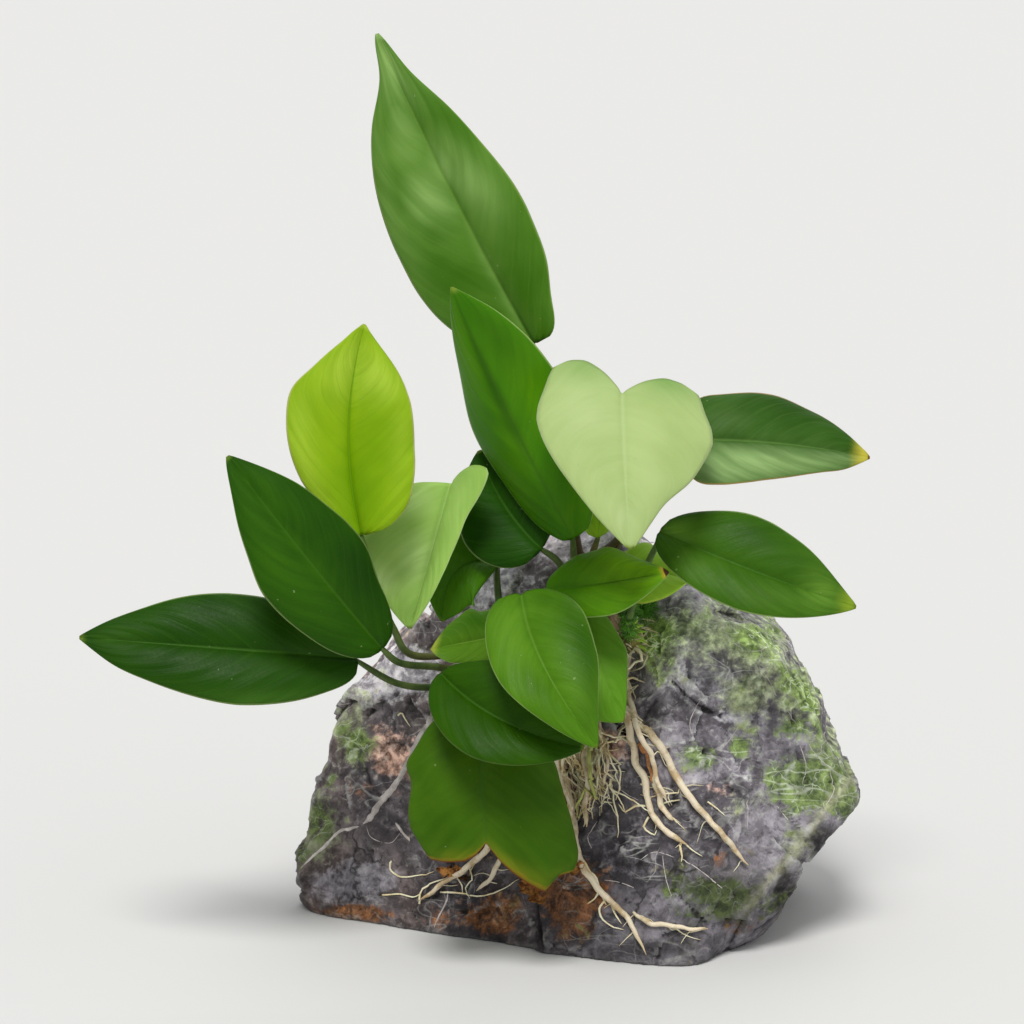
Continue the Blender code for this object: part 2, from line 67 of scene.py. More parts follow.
# Each facet has its azimuth, elevation and distance from the centre. The left block carries the plant and
# the right block stands forward of it.
LEFT_BLOCK = (
    (244, 13, 27), (228, -6, 52), (300, 10, 25), (252, 42, 38), (180, 70, 46), (178, 47, 43), (176, 36, 47),
    (172, 17, 54), (190, -24, 70.5), (20, 50, 42), (-20, 10, 38), (12, 12, 40), (48, 6, 34), (110, 20, 27),
    (140, 8, 41), (80, 55, 40), (0, -90, 44),
)
RIGHT_BLOCK = (
    (252, 14, 29), (281, 15, 40), (286, 40, 44), (215, 20, 14), (217, 38, 17), (320, -31, 62),
    (0, 27, 52.5), (30, 5, 53), (-14, -38, 57), (-6, 43, 50.5), (0, 60, 45), (100, 18, 28), (60, 5, 38),
    (150, 20, 20), (0, -90, 44),
)
FACET_SHARPNESS = 34
LUMP_SIZE = 26
LUMP_HEIGHT = 1.3
LUMP_OCTAVES = 2
# Broken faces: cells of this size, each tilted its own way, with small steps between them.
CHIP_SIZE = 17
CHIP_TILT = 0.22
# How far apart the noise is read for one chip and the next, and for the three parts of its slope.
CHIP_SPREAD = 7.3
CHIP_SHIFTS = (0, 31.7, 63.1)
# Ledges: the stone broke along leaning layers. Its surface comes out over a layer and steps back at the top.
LAYER_FACING = (215, 55)
LEDGE_SPACING = 17
LEDGE_HEIGHT = 1.7
# The share of a layer that the step back takes, how far the ledges wander, and how faint they can get.
LEDGE_STEP = 0.14
LEDGE_WANDER = 9
LEDGE_FAINTEST = 0.3
LEDGE_STRENGTH = 2.2
# Bumps and dents that show from the front: place, radius and height.
STONE_BUMPS = (
    ((-28, 10, 70), 8, 2.5), ((-56, 8, 34), 9, -3.0), ((-57, 6, 9), 9, 2.0), ((15, -8, 60), 9, -3.5),
    ((6, -12, 34), 9, -4.0), ((-32, -6, 24), 10, -2.0), ((57, 2, 13), 10, -3.5), ((47, -12, 5), 9, 4.5),
)

RHIZOME_RADIUS = 3.0
RHIZOME_ROUTE = ((-20, 57), (-13, 60.5), (-4, 63), (5, 64.5), (11, 65), (14.5, 66.5), (16, 70))
SHOOT_ROUTE = ((3.5, 71), (4.5, 75), (5, 79), (5, 82))
RHIZOME_COUNT = 24
SHOOT_COUNT = 10
SCAR_SPACING = 3.2
TIP_SHARE = 0.25
STALK_RADIUS = 0.9
FLARE = 0.6
ROOT_TAPER = 0.45
STEM_WIDTH = 0.09
TIP_WIDTH = 0.03
LOBE_TURN = 0.72 * math.pi
RAY_START = 200
SETTLING_STEPS = 4
PIECE_CHECKS = (0.2, 0.4, 0.6, 0.8)


class Leaf(NamedTuple):
    """One leaf: five points on its blade, and how its stalk reaches it."""

    name: str
    base: tuple
    mid: tuple
    tip: tuple
    left: tuple
    right: tuple
    stem: str
    along: float
    via: tuple = ()
    lobes: tuple = (0, 0)
    left_extra: tuple = ()
    right_extra: tuple = ()
    base_width: float = STEM_WIDTH
    fullness: float = 0.55
    shoulder: float = 1.6
    taper: float = 0.95
    camber: float = 0.10
    tip_width: float = TIP_WIDTH
    tear: tuple = ()
    colour: str = "mid_green"


LEAVES = (
    Leaf("top", (-6, -4, 131.5), (-20, 1, 157), (-39, 6, 196.5), (-34, 4, 151), (-7.5, -4, 160),
         "shoot", 0.95, ((2, -3, 98), (-1, -3, 114)), fullness=0.45, shoulder=1.5,
         left_extra=(0, 2, 2.2, 1.8, 1.8, 1.5, 0.7, -1.5, 0),
         right_extra=(0, -1.2, 0, 0.5, 1.2, 1, 0.5, -1, 0)),
    Leaf("tall", (2.5, -18, 92), (-10.5, -16, 117), (-23, -20, 146), (-17, -8, 113.5), (1, -14, 121),
         "shoot", 0.4, ((3, -10, 84),), fullness=0.5, colour="dark_green",
         left_extra=(0, 1.6, 2.4, 2.6, 2, 1.2, 0.5, 0, 0),
         right_extra=(0, 0, 0.8, 1.2, 1.4, 1.8, 2.2, 1.8, 0)),
    Leaf("shaded", (-4, -10, 88), (-11.5, -6, 96), (-17.5, -2, 108), (-20.5, -8, 88.5), (-2.5, -2, 102.5),
         "shoot", 0.2, ((0, -8, 84),), colour="dark_green"),
    Leaf("low_back", (-13, -2, 83), (-20.5, -5, 83.5), (-25.5, -10, 72), (-19, -10, 77), (-23, 1, 91),
         "rhizome", 0.22, ((-13, -5, 74),),
         left_extra=(0, 2.5, 2.5, 1.8, 0.5, 1, 1, 1.2, 0)),
    Leaf("yellow", (-42, -26, 94.5), (-44.5, -23, 113), (-41, -22, 138.5), (-57, -26, 115.5),
         (-31, -27, 112), "rhizome", 0.12, ((-31, -18, 66.5), (-35.5, -22, 73.5), (-38.5, -24, 82)),
         fullness=0.45, shoulder=3, taper=1.15, colour="lime",
         left_extra=(0, -2.5, -1.2, -0.2, 0.5, 0.5, -1.8, -2, 0),
         right_extra=(0, 0.7, 0.5, 0.5, 0.5, 0.7, 1.3, 1.7, 0)),
    Leaf("pale", (-23.5, -8, 102), (-26.5, -12, 91.5), (-32, -20, 73), (-18.5, -21, 94.5),
         (-41, -10, 90), "rhizome", 0.17, ((-13.5, 1, 76), (-15, 5, 88), (-22, 2, 97)),
         lobes=(3.2, 0.4), base_width=0.7, fullness=0.5, colour="pale_green",
         left_extra=(2.5, 0, -3, -4.2, -4.4, -3.2, -2, -1, 0),
         right_extra=(0, 0, 1.5, 1.8, 1, 0.7, 0.2, 0, 0)),
    Leaf("left_upper", (-37.5, -30, 71), (-52.5, -36, 91.5), (-69, -34, 113), (-61.5, -40, 85),
         (-43.5, -31, 98.5), "rhizome", 0.06, ((-26.5, -16, 63.5), (-34, -26, 67)),
         colour="dark_green",
         left_extra=(0, 0, 0, 0.2, 0, -0.7, -0.7, -0.7, 0),
         right_extra=(0, -1, -1.7, -0.8, -0.8, -0.7, -0.2, 0, 0)),
    Leaf("left_lower", (-43, -26, 68), (-68.5, -30, 71), (-101.5, -26, 72.5), (-67, -36, 60.5),
         (-70, -24, 81), "rhizome", 0.0, ((-26.5, -12, 58), (-35, -20, 61)),
         colour="dark_green",
         left_extra=(0, -0.7, -0.5, -0.2, 0.2, 0.5, 0.7, 1, 0),
         right_extra=(0, 0, 0.7, 0.9, 0.7, 0.5, 0.5, 0.5, 0)),
    Leaf("heart", (12.5, -24, 124.5), (12.5, -34, 117), (13.5, -48, 96.5), (31.5, -31, 115),
         (-5, -32, 120.5), "shoot", 0.8, ((13.5, -11, 93), (13, -14, 112)),
         lobes=(4.6, 6.2), base_width=0.8, fullness=0.5, shoulder=1.4, colour="pale_green",
         left_extra=(-0.5, -1, -0.5, -0.4, -0.3, -0.4, -1.7, -1, 0),
         right_extra=(-1, -0.8, 0.2, 0.5, 1, 1.2, 1, 0.7, 0)),
    Leaf("right_upper", (23.5, -14, 112.5), (44.5, -12, 111.5), (66, -8, 107.5), (45, -4, 120),
         (43.5, -20, 105.5), "shoot", 0.65, ((11.5, -4.3, 86), (19, -8, 101)),
         left_extra=(0, 2.2, 1.6, 1, 0.2, 0.2, 0.5, 0.2, 0),
         right_extra=(0, 4.5, 3.8, 2, 0.2, -0.2, 0, 0.7, 0)),
    Leaf("right_lower", (20.5, -22, 94.5), (39.5, -30, 88), (61.5, -30, 80), (44, -24, 97),
         (36, -36, 81), "rhizome", 0.82, ((14.5, -21, 76), (17, -23, 85)), colour="dark_green"),
    Leaf("centre_right", (-3.5, -20, 81.5), (8.5, -30, 85), (22, -36, 89), (9, -20, 90.5),
         (9, -38, 80), "rhizome", 0.52, ((0, -12, 74),)),
    Leaf("behind_right", (8.5, -11, 82), (18.5, -14, 84), (27.5, -16, 82.5), (19.5, -7, 88.5),
         (17.5, -20, 79.5), "rhizome", 0.72, ((10, -9, 75),),
         left_extra=(0, 0, -0.8, 0, 0.2, -1.2, -1.5, -1, 0),
         right_extra=(0, 0, 1.3, 1.4, 1.4, 1.4, 1.6, 1.3, 0)),
    Leaf("front", (-8.5, -30, 83), (-4.5, -45, 72.5), (7, -54, 56.5), (6, -42, 77), (-13.5, -49, 68.5),
         "rhizome", 0.45, ((-5, -16, 74),), base_width=0.3, fullness=0.48,
         left_extra=(0, 0.8, 0.8, 0.5, 0.3, 0.6, 0.4, 0.2, 0),
         right_extra=(0, -0.2, -0.2, -0.3, -0.8, -1.2, -1.2, -0.7, 0)),
    Leaf("lower_right", (4, -22, 78), (8, -30, 67), (13, -34, 56.5), (13.5, -26, 70), (2.5, -32, 60),
         "rhizome", 0.62, ((7, -14, 73),)),
    Leaf("small_left", (-10.5, -18, 71.5), (-19.5, -24, 71), (-27.5, -28, 70.5), (-20, -30, 67),
         (-18.5, -18, 76), "rhizome", 0.37, ((-8, -10, 69),),
         left_extra=(0, 0, 0, -0.5, -1.3, -1.3, -0.5, -0.2, 0),
         right_extra=(0, 1.5, 1.2, 0.3, 0.3, 1.5, 1.5, 2, 0)),
    Leaf("lower_centre", (-25.5, -30, 66), (-14.5, -40, 59.5), (4.5, -44, 53.5), (-6.5, -36, 68.5),
         (-19.5, -46, 52.5), "rhizome", 0.26, ((-13, -16, 63), (-19, -26, 65)), fullness=0.65,
         colour="dark_green"),
    Leaf("torn", (-18, -28, 57), (-16.5, -36, 40), (-15.5, -37, 25.7), (1, -34, 37),
         (-31.5, -33, 40.5), "rhizome", 0.32, ((-7, -14, 59),), fullness=0.5, shoulder=3,
         taper=0.4, base_width=0.3, tip_width=0.9,
         tear=(0, 0.6, 4.3, 2.8, 0.9, -1.5, -5.2, -2.4, -0.9, -0.4, 0, 0, -3.9), colour="dark_green",
         left_extra=(0, 0, 0.5, 0, 0, 1, 1.8, 2.2, 1.7),
         right_extra=(0, 0, 0.2, 1.2, 0.2, 0.5, 1, 1.2, 0.7)),
    Leaf("olive", (8, -10, 90.5), (9, -4, 102), (9, 0, 116), (3.5, 1, 101), (14, 1, 103),
         "shoot", 0.55, ((6, -8, 84),), colour="olive_green"),
)


class Root(NamedTuple):
    """One root: its radius, its route down the front of the stone as X and Z, and how far it stands off."""

    radius: float
    route: tuple
    lift: float = 0.0


ROOTS = (
    Root(0.9, ((9.5, 60.5), (10.5, 54), (12, 47), (16.5, 42), (18.5, 37), (19.5, 32), (23.5, 28), (27, 26))),
    Root(0.8, ((19.2, 40.5), (20.9, 37), (21.6, 33.5), (24, 31))),
    Root(0.95, ((15.5, 62), (15, 56), (17, 50), (21.5, 46.5), (24, 41), (28, 35.5), (34.5, 28),
                (40.5, 20.5))),
    Root(0.7, ((13, 61), (13.3, 56), (15.5, 50), (19.5, 44.5), (20.8, 39.5), (22.8, 35.5)), lift=2.2),
    Root(0.9, ((1, 60), (0, 50), (0, 42), (2, 32), (3.5, 24), (5, 19.5), (8, 15.5), (11.5, 12),
               (15, 9), (18.3, 2.5))),
    Root(0.6, ((15.6, 11), (19, 9), (24, 8.5), (31.5, 8))),
    Root(0.6, ((-3, 59), (-3.8, 52), (-4, 41), (-1.6, 34.5), (0.2, 29.5), (1, 25.5))),
    Root(0.6, ((-1, 58.3), (-1.8, 50), (-1, 42.5), (0.5, 36), (2.5, 31)), lift=2.2),
    Root(0.8, ((3, 60), (3.2, 52), (4, 43), (5, 38))),
    Root(0.8, ((5, 60), (5.5, 52), (6.8, 42), (6.8, 36), (6, 31.5), (6, 27.5)), lift=1.8),
    Root(0.5, ((8.1, 53), (8.6, 50), (9.6, 45.5), (10.6, 41), (9.8, 36)), lift=0.6),
    Root(0.8, ((-8, 57.5), (-9.5, 48), (-11.5, 35), (-15, 22), (-20, 15.5), (-25, 11.5), (-31, 6.5))),
    Root(0.7, ((-5.5, 58), (-7, 46), (-9.5, 31), (-13, 19), (-15.5, 13.5), (-18, 11))),
)

MOSS_PLACE = (20, 75)
MOSS_RADIUS = 2.7
MOSS_ROUGHNESS = 0.15
# ---------------------------------------------------------------- routes, as in the CAD source



def curve(a, b, c, d, t):
    """The value at t on the Catmull-Rom curve from b to c."""
    return 0.5 * (2 * b + (c - a) * t + (2 * a - 5 * b + 4 * c - d) * t**2
                  + (3 * b - a - 3 * c + d) * t**3)


def span_at(share, count):
    """The span between count places that this share of their row falls in, and how far along it."""
    place = share * (count - 1)
    index = min(int(place), count - 2)
    return index, place - index


def smooth_route(points, count):
    """count + 1 points along a Catmull-Rom curve through the given points."""
    points = [Vector(point) for point in points]
    ends = [2 * points[0] - points[1]] + points + [2 * points[-1] - points[-2]]
    route = []
    for step in range(count + 1):
        index, t = span_at(step / count, len(points))
        route.append(curve(*ends[index : index + 4], t))
    return route


def on_stone(tree, x, z, clearance):
    """The point this far clear of the stone's front, seen from straight ahead at X and Z."""
    hit, _, _, _ = tree.ray_cast(Vector((x, -RAY_START, z)) * MM, Vector((0, 1, 0)))
    point = hit - Vector((0, clearance, 0)) * MM
    for _ in range(SETTLING_STEPS):
        nearest, _, _, distance = tree.find_nearest(point)
        if distance < clearance * MM:
            point = nearest + (point - nearest).normalized() * clearance * MM
    return point / MM


def settled_route(tree, flat, count, clearance):
    """The flat X and Z route laid on the stone in count straight pieces, each this far clear of it."""
    route = [on_stone(tree, place.x, place.z, clearance) for place in smooth_route(flat, count)]
    for _ in range(SETTLING_STEPS):
        for start, end in zip(route, route[1:]):
            for share in PIECE_CHECKS:
                place = start.lerp(end, share)
                nearest, normal, _, _ = tree.find_nearest(place * MM)
                short = clearance - (place - nearest / MM).dot(normal)
                if short > 0:
                    start += normal * short * (1 - share)
                    end += normal * short * share
    return route


def route_length(points):
    return sum((end - start).length for start, end in zip(points, points[1:]))


def point_along(points, share):
    """The point at this share of a route, and the run of the piece that it lies on."""
    index, t = span_at(share, len(points))
    return points[index].lerp(points[index + 1], t), points[index + 1] - points[index]


# A stalk's foot is this deep in the bark. Its end runs on under the blade, and lies below it by a share of
# its radius.
FOOT_DEPTH = 1.2
END_OVERLAP = 0.6
END_BELOW = 0.7


def stalk_route(leaf, stem):
    """The points that a stalk runs through, from inside the bark to under its blade."""
    centre, run = point_along(stem, leaf.along)
    outward = Vector(leaf.via[0]) - centre
    outward -= run * (outward.dot(run) / run.dot(run))
    outward = outward.normalized()
    heading = rib(leaf, 0)[1]
    below = (Vector(leaf.right) - Vector(leaf.left)).cross(heading).normalized() * -STALK_RADIUS * END_BELOW
    start = centre + outward * (RHIZOME_RADIUS + GAP + FLARE)
    end = Vector(leaf.base) + heading * END_OVERLAP + below
    return [centre + outward * (RHIZOME_RADIUS - FOOT_DEPTH), start, *map(Vector, leaf.via), end]


# ---------------------------------------------------------------- node materials


class Shader:
    """Builds one node material around a Principled shader."""

    def __init__(self, name, specular, **constants):
        self.material = bpy.data.materials.new(name)
        self.material.use_nodes = True
        self.tree = self.material.node_tree
        self.principled = self.tree.nodes["Principled BSDF"]
        for key, value in {"Specular_IOR_Level": specular, **constants}.items():
            self.principled.inputs[key.replace("_", " ")].default_value = value
        self.place = self.add("ShaderNodeTexCoord").outputs["Object"]

    def add(self, kind, inputs=None, **settings):
        made = self.tree.nodes.new(kind)
        for key, value in settings.items():
            setattr(made, key, value)
        for key, value in (inputs or {}).items():
            self.put(made.inputs[key], value)
        return made

    def put(self, socket, value):
        """Links another socket, or sets a number, a vector or a colour without its alpha."""
        if isinstance(value, bpy.types.NodeSocket):
            self.tree.links.new(value, socket)
        else:
            socket.default_value = (*value, 1.0) if socket.type == "RGBA" else value

    def math(self, operation, first, second=0.0, third=0.0, clamp=False):
        made = self.add("ShaderNodeMath", {0: first, 1: second, 2: third}, operation=operation)
        made.use_clamp = clamp
        return made.outputs[0]

    def times(self, first, second):
        return self.math("MULTIPLY", first, second)

    def ramp(self, value, low, high, start=0.0, end=1.0):
        """A smooth step of value from low to high, as start to end."""
        inputs = {"Value": value, "From Min": low, "From Max": high, "To Min": start, "To Max": end}
        made = self.add("ShaderNodeMapRange", inputs, interpolation_type="SMOOTHSTEP")
        return made.outputs["Result"]

    def mix(self, share, first, second, blend="MIX"):
        made = self.add("ShaderNodeMix", {0: share}, data_type="RGBA", blend_type=blend)
        self.put(made.inputs[6], first)
        self.put(made.inputs[7], second)
        return made.outputs[2]

    def tint(self, colour, other, value, low, high, start=0.0, end=1.0):
        """The colour, turned to the other one by a smooth step of value."""
        return self.mix(self.ramp(value, low, high, start, end), colour, other)

    def noise(self, size, detail=3.0, roughness=0.5, distortion=0.0, vector=None):
        """Noise whose features are about size millimetres across."""
        inputs = {"Scale": 1 / (size * MM), "Detail": detail, "Roughness": roughness,
                  "Distortion": distortion, "Vector": vector or self.place}
        return self.add("ShaderNodeTexNoise", inputs).outputs["Fac"]

    def lines(self, size, width, vector=None):
        """Thin wandering lines, where noise of this size passes through its middle."""
        off = self.math("ABSOLUTE", self.math("SUBTRACT", self.noise(size, 2.0, 0.45, 0.0, vector), 0.5))
        return self.ramp(off, 0.0, width, 1.0, 0.0)

    def stretched(self, along, turn):
        """The place on the object, turned about the Y axis and drawn out along one direction."""
        inputs = {"Vector": self.place, "Rotation": (0.3, turn, 0.2), "Scale": (1 / along, 1.0, 1.0)}
        return self.add("ShaderNodeMapping", inputs, vector_type="POINT").outputs[0]

    def cells(self, size, feature):
        """Broken cells of this size with ragged borders: a tone for each, or the distance to the border."""
        shift = self.add("ShaderNodeTexNoise", {"Scale": 1 / (3 * MM), "Detail": 3.0, "Vector": self.place})
        shift = self.add("ShaderNodeVectorMath", {0: shift.outputs["Color"], 1: (0.004, 0.004, 0.004)},
                         operation="MULTIPLY")
        place = self.add("ShaderNodeVectorMath", {0: self.place, 1: shift.outputs[0]}, operation="ADD")
        made = self.add("ShaderNodeTexVoronoi", {"Scale": 1 / (size * MM), "Vector": place.outputs[0]},
                        feature=feature)
        return made.outputs["Color" if feature == "F1" else "Distance"]

    def attribute(self, name):
        return self.add("ShaderNodeAttribute", attribute_name=name).outputs["Fac"]

    def parts(self, vector):
        """The X, Y and Z of a vector."""
        return self.add("ShaderNodeSeparateXYZ", {0: vector}).outputs

    def uv(self):
        """How far across and along its piece a place is."""
        return tuple(self.parts(self.add("ShaderNodeUVMap", uv_map=UV_NAME).outputs["UV"]))[:2]

    def finish(self, colour, roughness=None, height=None, depth=0.1):
        """Joins the colour, roughness and a bump of this depth in millimetres to the shader."""
        self.put(self.principled.inputs["Base Color"], colour)
        if roughness is not None:
            self.put(self.principled.inputs["Roughness"], roughness)
        if height is not None:
            bump = self.add("ShaderNodeBump", {"Height": height, "Distance": depth * MM, "Strength": 1.0})
            self.tree.links.new(bump.outputs["Normal"], self.principled.inputs["Normal"])
        return self.material

    def grainy(self, colour, grain, smooth, rough, depth, height=None):
        """Finishes with a roughness that follows the grain; the grain is the height if none is given."""
        return self.finish(colour, self.ramp(grain, 0.2, 0.8, smooth, rough), height or grain, depth)


# ---------------------------------------------------------------- mesh building


def add_piece(name, mesh, slot, *replaced):
    """Puts a mesh in the scene; it rides on the one body and may stand for CAD nodes."""
    piece = bpy.data.objects.new(name, mesh)
    bpy.context.scene.collection.objects.link(piece)
    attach(piece, BODY)
    if replaced:
        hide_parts(*replaced)


def new_mesh(name, points, faces):
    """A smooth mesh of points in metres."""
    made = bpy.data.meshes.new(name)
    made.from_pydata(points, [], faces)
    made.polygons.foreach_set("use_smooth", [True] * len(faces))
    return made


def put_uv(mesh, across, along):
    """A UV map that holds how far across and along its piece each point is."""
    loops = np.zeros(len(mesh.loops), np.int32)
    mesh.loops.foreach_get("vertex_index", loops)
    places = np.stack([across, along], 1)[loops]
    mesh.uv_layers.new(name=UV_NAME).data.foreach_set("uv", places.astype(np.float32).ravel())


def put_values(mesh, name, values):
    mesh.attributes.new(name, "FLOAT", "POINT").data.foreach_set("value", values.astype(np.float32))


class Sweep:
    """Gathers tubes into one mesh, with where each point is along and around its tube."""

    def __init__(self):
        self.points = []
        self.faces = []
        self.along = []
        self.around = []

    def tube(self, route, radii, sides):
        """A closed round tube."""
        side = (route[1] - route[0]).normalized().orthogonal().normalized()
        first = len(self.points)
        last = len(route) - 1
        for index, point in enumerate(route):
            ahead = (route[min(index + 1, last)] - route[max(index - 1, 0)]).normalized()
            side = (side - ahead * side.dot(ahead)).normalized()
            up = ahead.cross(side)
            for step in range(sides):
                turn = math.tau * step / sides
                self.points.append(point + (side * math.cos(turn) + up * math.sin(turn)) * radii[index])
                self.along.append(index / last)
                self.around.append(step / sides)
        for index in range(last):
            for step in range(sides):
                a = first + index * sides + step
                b = first + index * sides + (step + 1) % sides
                self.faces.append((a, b, b + sides, a + sides))
        end = first + last * sides
        self.cap(range(first + sides - 1, first - 1, -1), route[0], 0.0)
        self.cap(range(end, end + sides), route[-1], 1.0)

    def cap(self, ring, centre, along):
        ring = list(ring)
        middle = len(self.points)
        self.points.append(centre)
        self.along.append(along)
        self.around.append(0.0)
        for a, b in zip(ring, ring[1:] + ring[:1]):
            self.faces.append((middle, a, b))

    def piece(self, name, material, slot, *replaced):
        """Makes a piece of the scene of the tubes."""
        made = new_mesh(name, [point * MM for point in self.points], self.faces)
        put_uv(made, self.around, self.along)
        made.materials.append(material)
        made.update()
        add_piece(name, made, slot, *replaced)


# ---------------------------------------------------------------- leaves


def widest_at(leaf):
    lower = (Vector(leaf.mid) - Vector(leaf.base)).length
    upper = (Vector(leaf.tip) - Vector(leaf.mid)).length
    return lower / (lower + upper)


def rib(leaf, along):
    """The point of the midrib and its direction, on the parabola through base, mid and tip."""
    base, mid, tip = Vector(leaf.base), Vector(leaf.mid), Vector(leaf.tip)
    m = widest_at(leaf)
    bend = (mid - base - m * (tip - base)) / (m * (m - 1))
    slope = tip - base - bend
    return base + slope * along + bend * along**2, (slope + 2 * bend * along).normalized()


def half_width(leaf, along):
    """The width of the blade as a share of its widest."""
    m = widest_at(leaf)
    if along < m:
        share = (1 - (1 - along / m) ** 2) ** leaf.fullness
        return leaf.base_width + (1 - leaf.base_width) * share
    share = 1 - ((along - m) / (1 - m)) ** leaf.shoulder
    return leaf.tip_width + (1 - leaf.tip_width) * max(share, 0) ** leaf.taper


def extra_width(extras, along):
    """The extra width at this share of the blade's length, on a smooth curve through the given ones."""
    if not extras:
        return 0
    index, t = span_at(along, len(extras))
    return curve(*(extras[0], *extras, extras[-1])[index : index + 4], t)


def blade_point(leaf, along, across):
    """A point of the blade: along from 0 at the base to 1 at the tip, across from -1 on the left to 1."""
    centre, heading = rib(leaf, along)
    widest = widest_at(leaf)
    mid, mid_heading = rib(leaf, widest)
    turn = mid_heading.rotation_difference(heading)
    side = turn @ (Vector(leaf.left if across < 0 else leaf.right) - mid)
    reach = abs(across)
    upward = (turn @ (Vector(leaf.right) - Vector(leaf.left))).cross(heading).normalized()
    width = side.length * half_width(leaf, along)
    width += extra_width(leaf.left_extra if across < 0 else leaf.right_extra, along)
    point = centre + side.normalized() * width * reach
    point += upward * leaf.camber * width * 4 * reach * (1 - reach)
    if along < widest:
        point -= heading * leaf.lobes[across > 0] * (1 - along / widest) ** 2 * math.sin(reach * LOBE_TURN)
    if leaf.tear:
        index, t = span_at((across + 1) / 2, len(leaf.tear))
        drop = leaf.tear[index] + (leaf.tear[index + 1] - leaf.tear[index]) * t
        point += heading * drop * along**3
    return point


BLADE_STEP = 0.85  # mm between rows
BLADE_COLUMNS = 44
COLUMN_CROWDING = 1.25
BLADE_THICKNESS = 0.42
EDGE_THICKNESS = 0.12
RIB_THICKNESS = 0.75
RIB_WIDTH = 0.8
GROOVE_DEPTH = 0.30
SIDE_VEINS = 8.0
VEIN_SLOPE = 0.22
VEIN_CURVE = 0.16
VEIN_START = 20.5  # the half puts the veins in the quilt's grooves, the rest keeps the count above zero
QUILT_HEIGHT = 0.09
EDGE_WAVE = 0.35

FEWEST_ROWS = 24
RIB_FADE = 0.75  # the share of the midrib that is gone at the tip
EDGE_SHARE = 0.12  # the share of the half-width over which the blade thins to its edge
FULL_SIZE = 40  # mm; shorter blades have lower veins and waves
# Waves of the edge along the blade, and how far they are shifted from leaf to leaf and from side to side.
WAVE_COUNT = 2.3
LEAF_SHIFT = 0.37
SIDE_SHIFT = 1.3


def sheet_places(rows, across):
    """Two grids that hold how far along and how far across a sheet each of its points is."""
    along = np.repeat(np.linspace(0, 1, rows + 1)[:, None], len(across), 1)
    return along, np.repeat(np.array(across)[None], rows + 1, 0)


def make_blade(number, leaf, look):
    """A closed blade with a grooved midrib, a quilt of side veins and a slightly waved edge."""
    length = route_length([Vector(leaf.base), Vector(leaf.mid), Vector(leaf.tip)])
    rows = max(FEWEST_ROWS, round(length / BLADE_STEP))
    shares = [2 * column / BLADE_COLUMNS - 1 for column in range(BLADE_COLUMNS + 1)]
    across = [math.copysign(abs(share) ** COLUMN_CROWDING, share) for share in shares]
    grid = np.array([[blade_point(leaf, row / rows, place)[:] for place in across]
                     for row in range(rows + 1)])
    upward = np.cross(np.gradient(grid, axis=1), np.gradient(grid, axis=0))
    upward /= np.maximum(np.linalg.norm(upward, axis=2, keepdims=True), 1e-9)
    along, side = sheet_places(rows, across)
    reach = np.abs(side)
    offset = np.linalg.norm(grid - grid[:, BLADE_COLUMNS // 2][:, None], axis=2)
    rib_shape = np.exp(-((offset / RIB_WIDTH) ** 2)) * (1 - RIB_FADE * along)
    # The same along one side vein, which leaves the midrib and sweeps towards the tip.
    vein = along - VEIN_SLOPE * reach - VEIN_CURVE * reach**2
    quilt = np.cos(math.tau * SIDE_VEINS * vein) * reach**0.5 * (1 - reach**4)
    wave = np.sin(math.tau * (WAVE_COUNT * along + LEAF_SHIFT * number) + SIDE_SHIFT * np.sign(side))
    size = min(1.0, length / FULL_SIZE)
    lift = -GROOVE_DEPTH * rib_shape - QUILT_HEIGHT * size * quilt
    lift += EDGE_WAVE * size * (wave * reach**3) * np.sin(math.pi * along)
    middle = grid + upward * lift[..., None]
    thick = EDGE_THICKNESS + (BLADE_THICKNESS - EDGE_THICKNESS) * np.minimum(1, (1 - reach) / EDGE_SHARE)
    thick = np.minimum(thick, EDGE_THICKNESS + np.minimum(along, 1 - along) * length * 0.5)
    top = middle + upward * (thick / 2)[..., None]
    bottom = middle - upward * (thick / 2 + RIB_THICKNESS * rib_shape)[..., None]
    skins = [leaf_material(leaf.name, look, number, under) for under in (False, True)]
    mesh = closed_sheet(f"blade_{leaf.name}", top, bottom, along, side, skins)
    # The lighter zones hold the blade's paler tone and painted light, the shades its darker tone and painted
    # shade.
    for layer, places in (("glow", look.glows), ("shade", look.shades)):
        put_values(mesh, layer, np.tile(zones(places, along, side).ravel(), 2))
    return mesh


def zones(places, along, side):
    """How strongly each point of a blade lies in zones given by place, radii and strength."""
    total = np.zeros(along.shape)
    for across, place, wide, long, strength in places:
        shape = np.exp(-(((side - across) / wide) ** 2) - ((along - place) / long) ** 2)
        total = np.maximum(total, strength * shape)
    return total


def closed_sheet(name, top, bottom, along, side, materials):
    """A closed mesh from two grids of points, with the second material on the bottom one."""
    count = along.size
    points = np.concatenate([top.reshape(-1, 3), bottom.reshape(-1, 3)])
    index = np.arange(count).reshape(along.shape)
    quads = np.stack([index[:-1, :-1], index[:-1, 1:], index[1:, 1:], index[1:, :-1]], -1).reshape(-1, 4)
    ring = np.concatenate([index[0, :-1], index[:-1, -1], index[-1, :0:-1], index[:0:-1, 0]])
    after = np.roll(ring, -1)
    rim = np.stack([ring, ring + count, after + count, after], -1)
    faces = np.concatenate([quads, quads[:, ::-1] + count, rim])
    made = new_mesh(name, (points * MM).tolist(), faces.tolist())
    below = np.zeros(len(faces), np.int32)
    below[len(quads) : 2 * len(quads)] = 1
    made.polygons.foreach_set("material_index", below)
    put_uv(made, np.tile((side.ravel() + 1) / 2, 2), np.tile(along.ravel(), 2))
    made.update()
    for material in materials:
        made.materials.append(material)
    return made


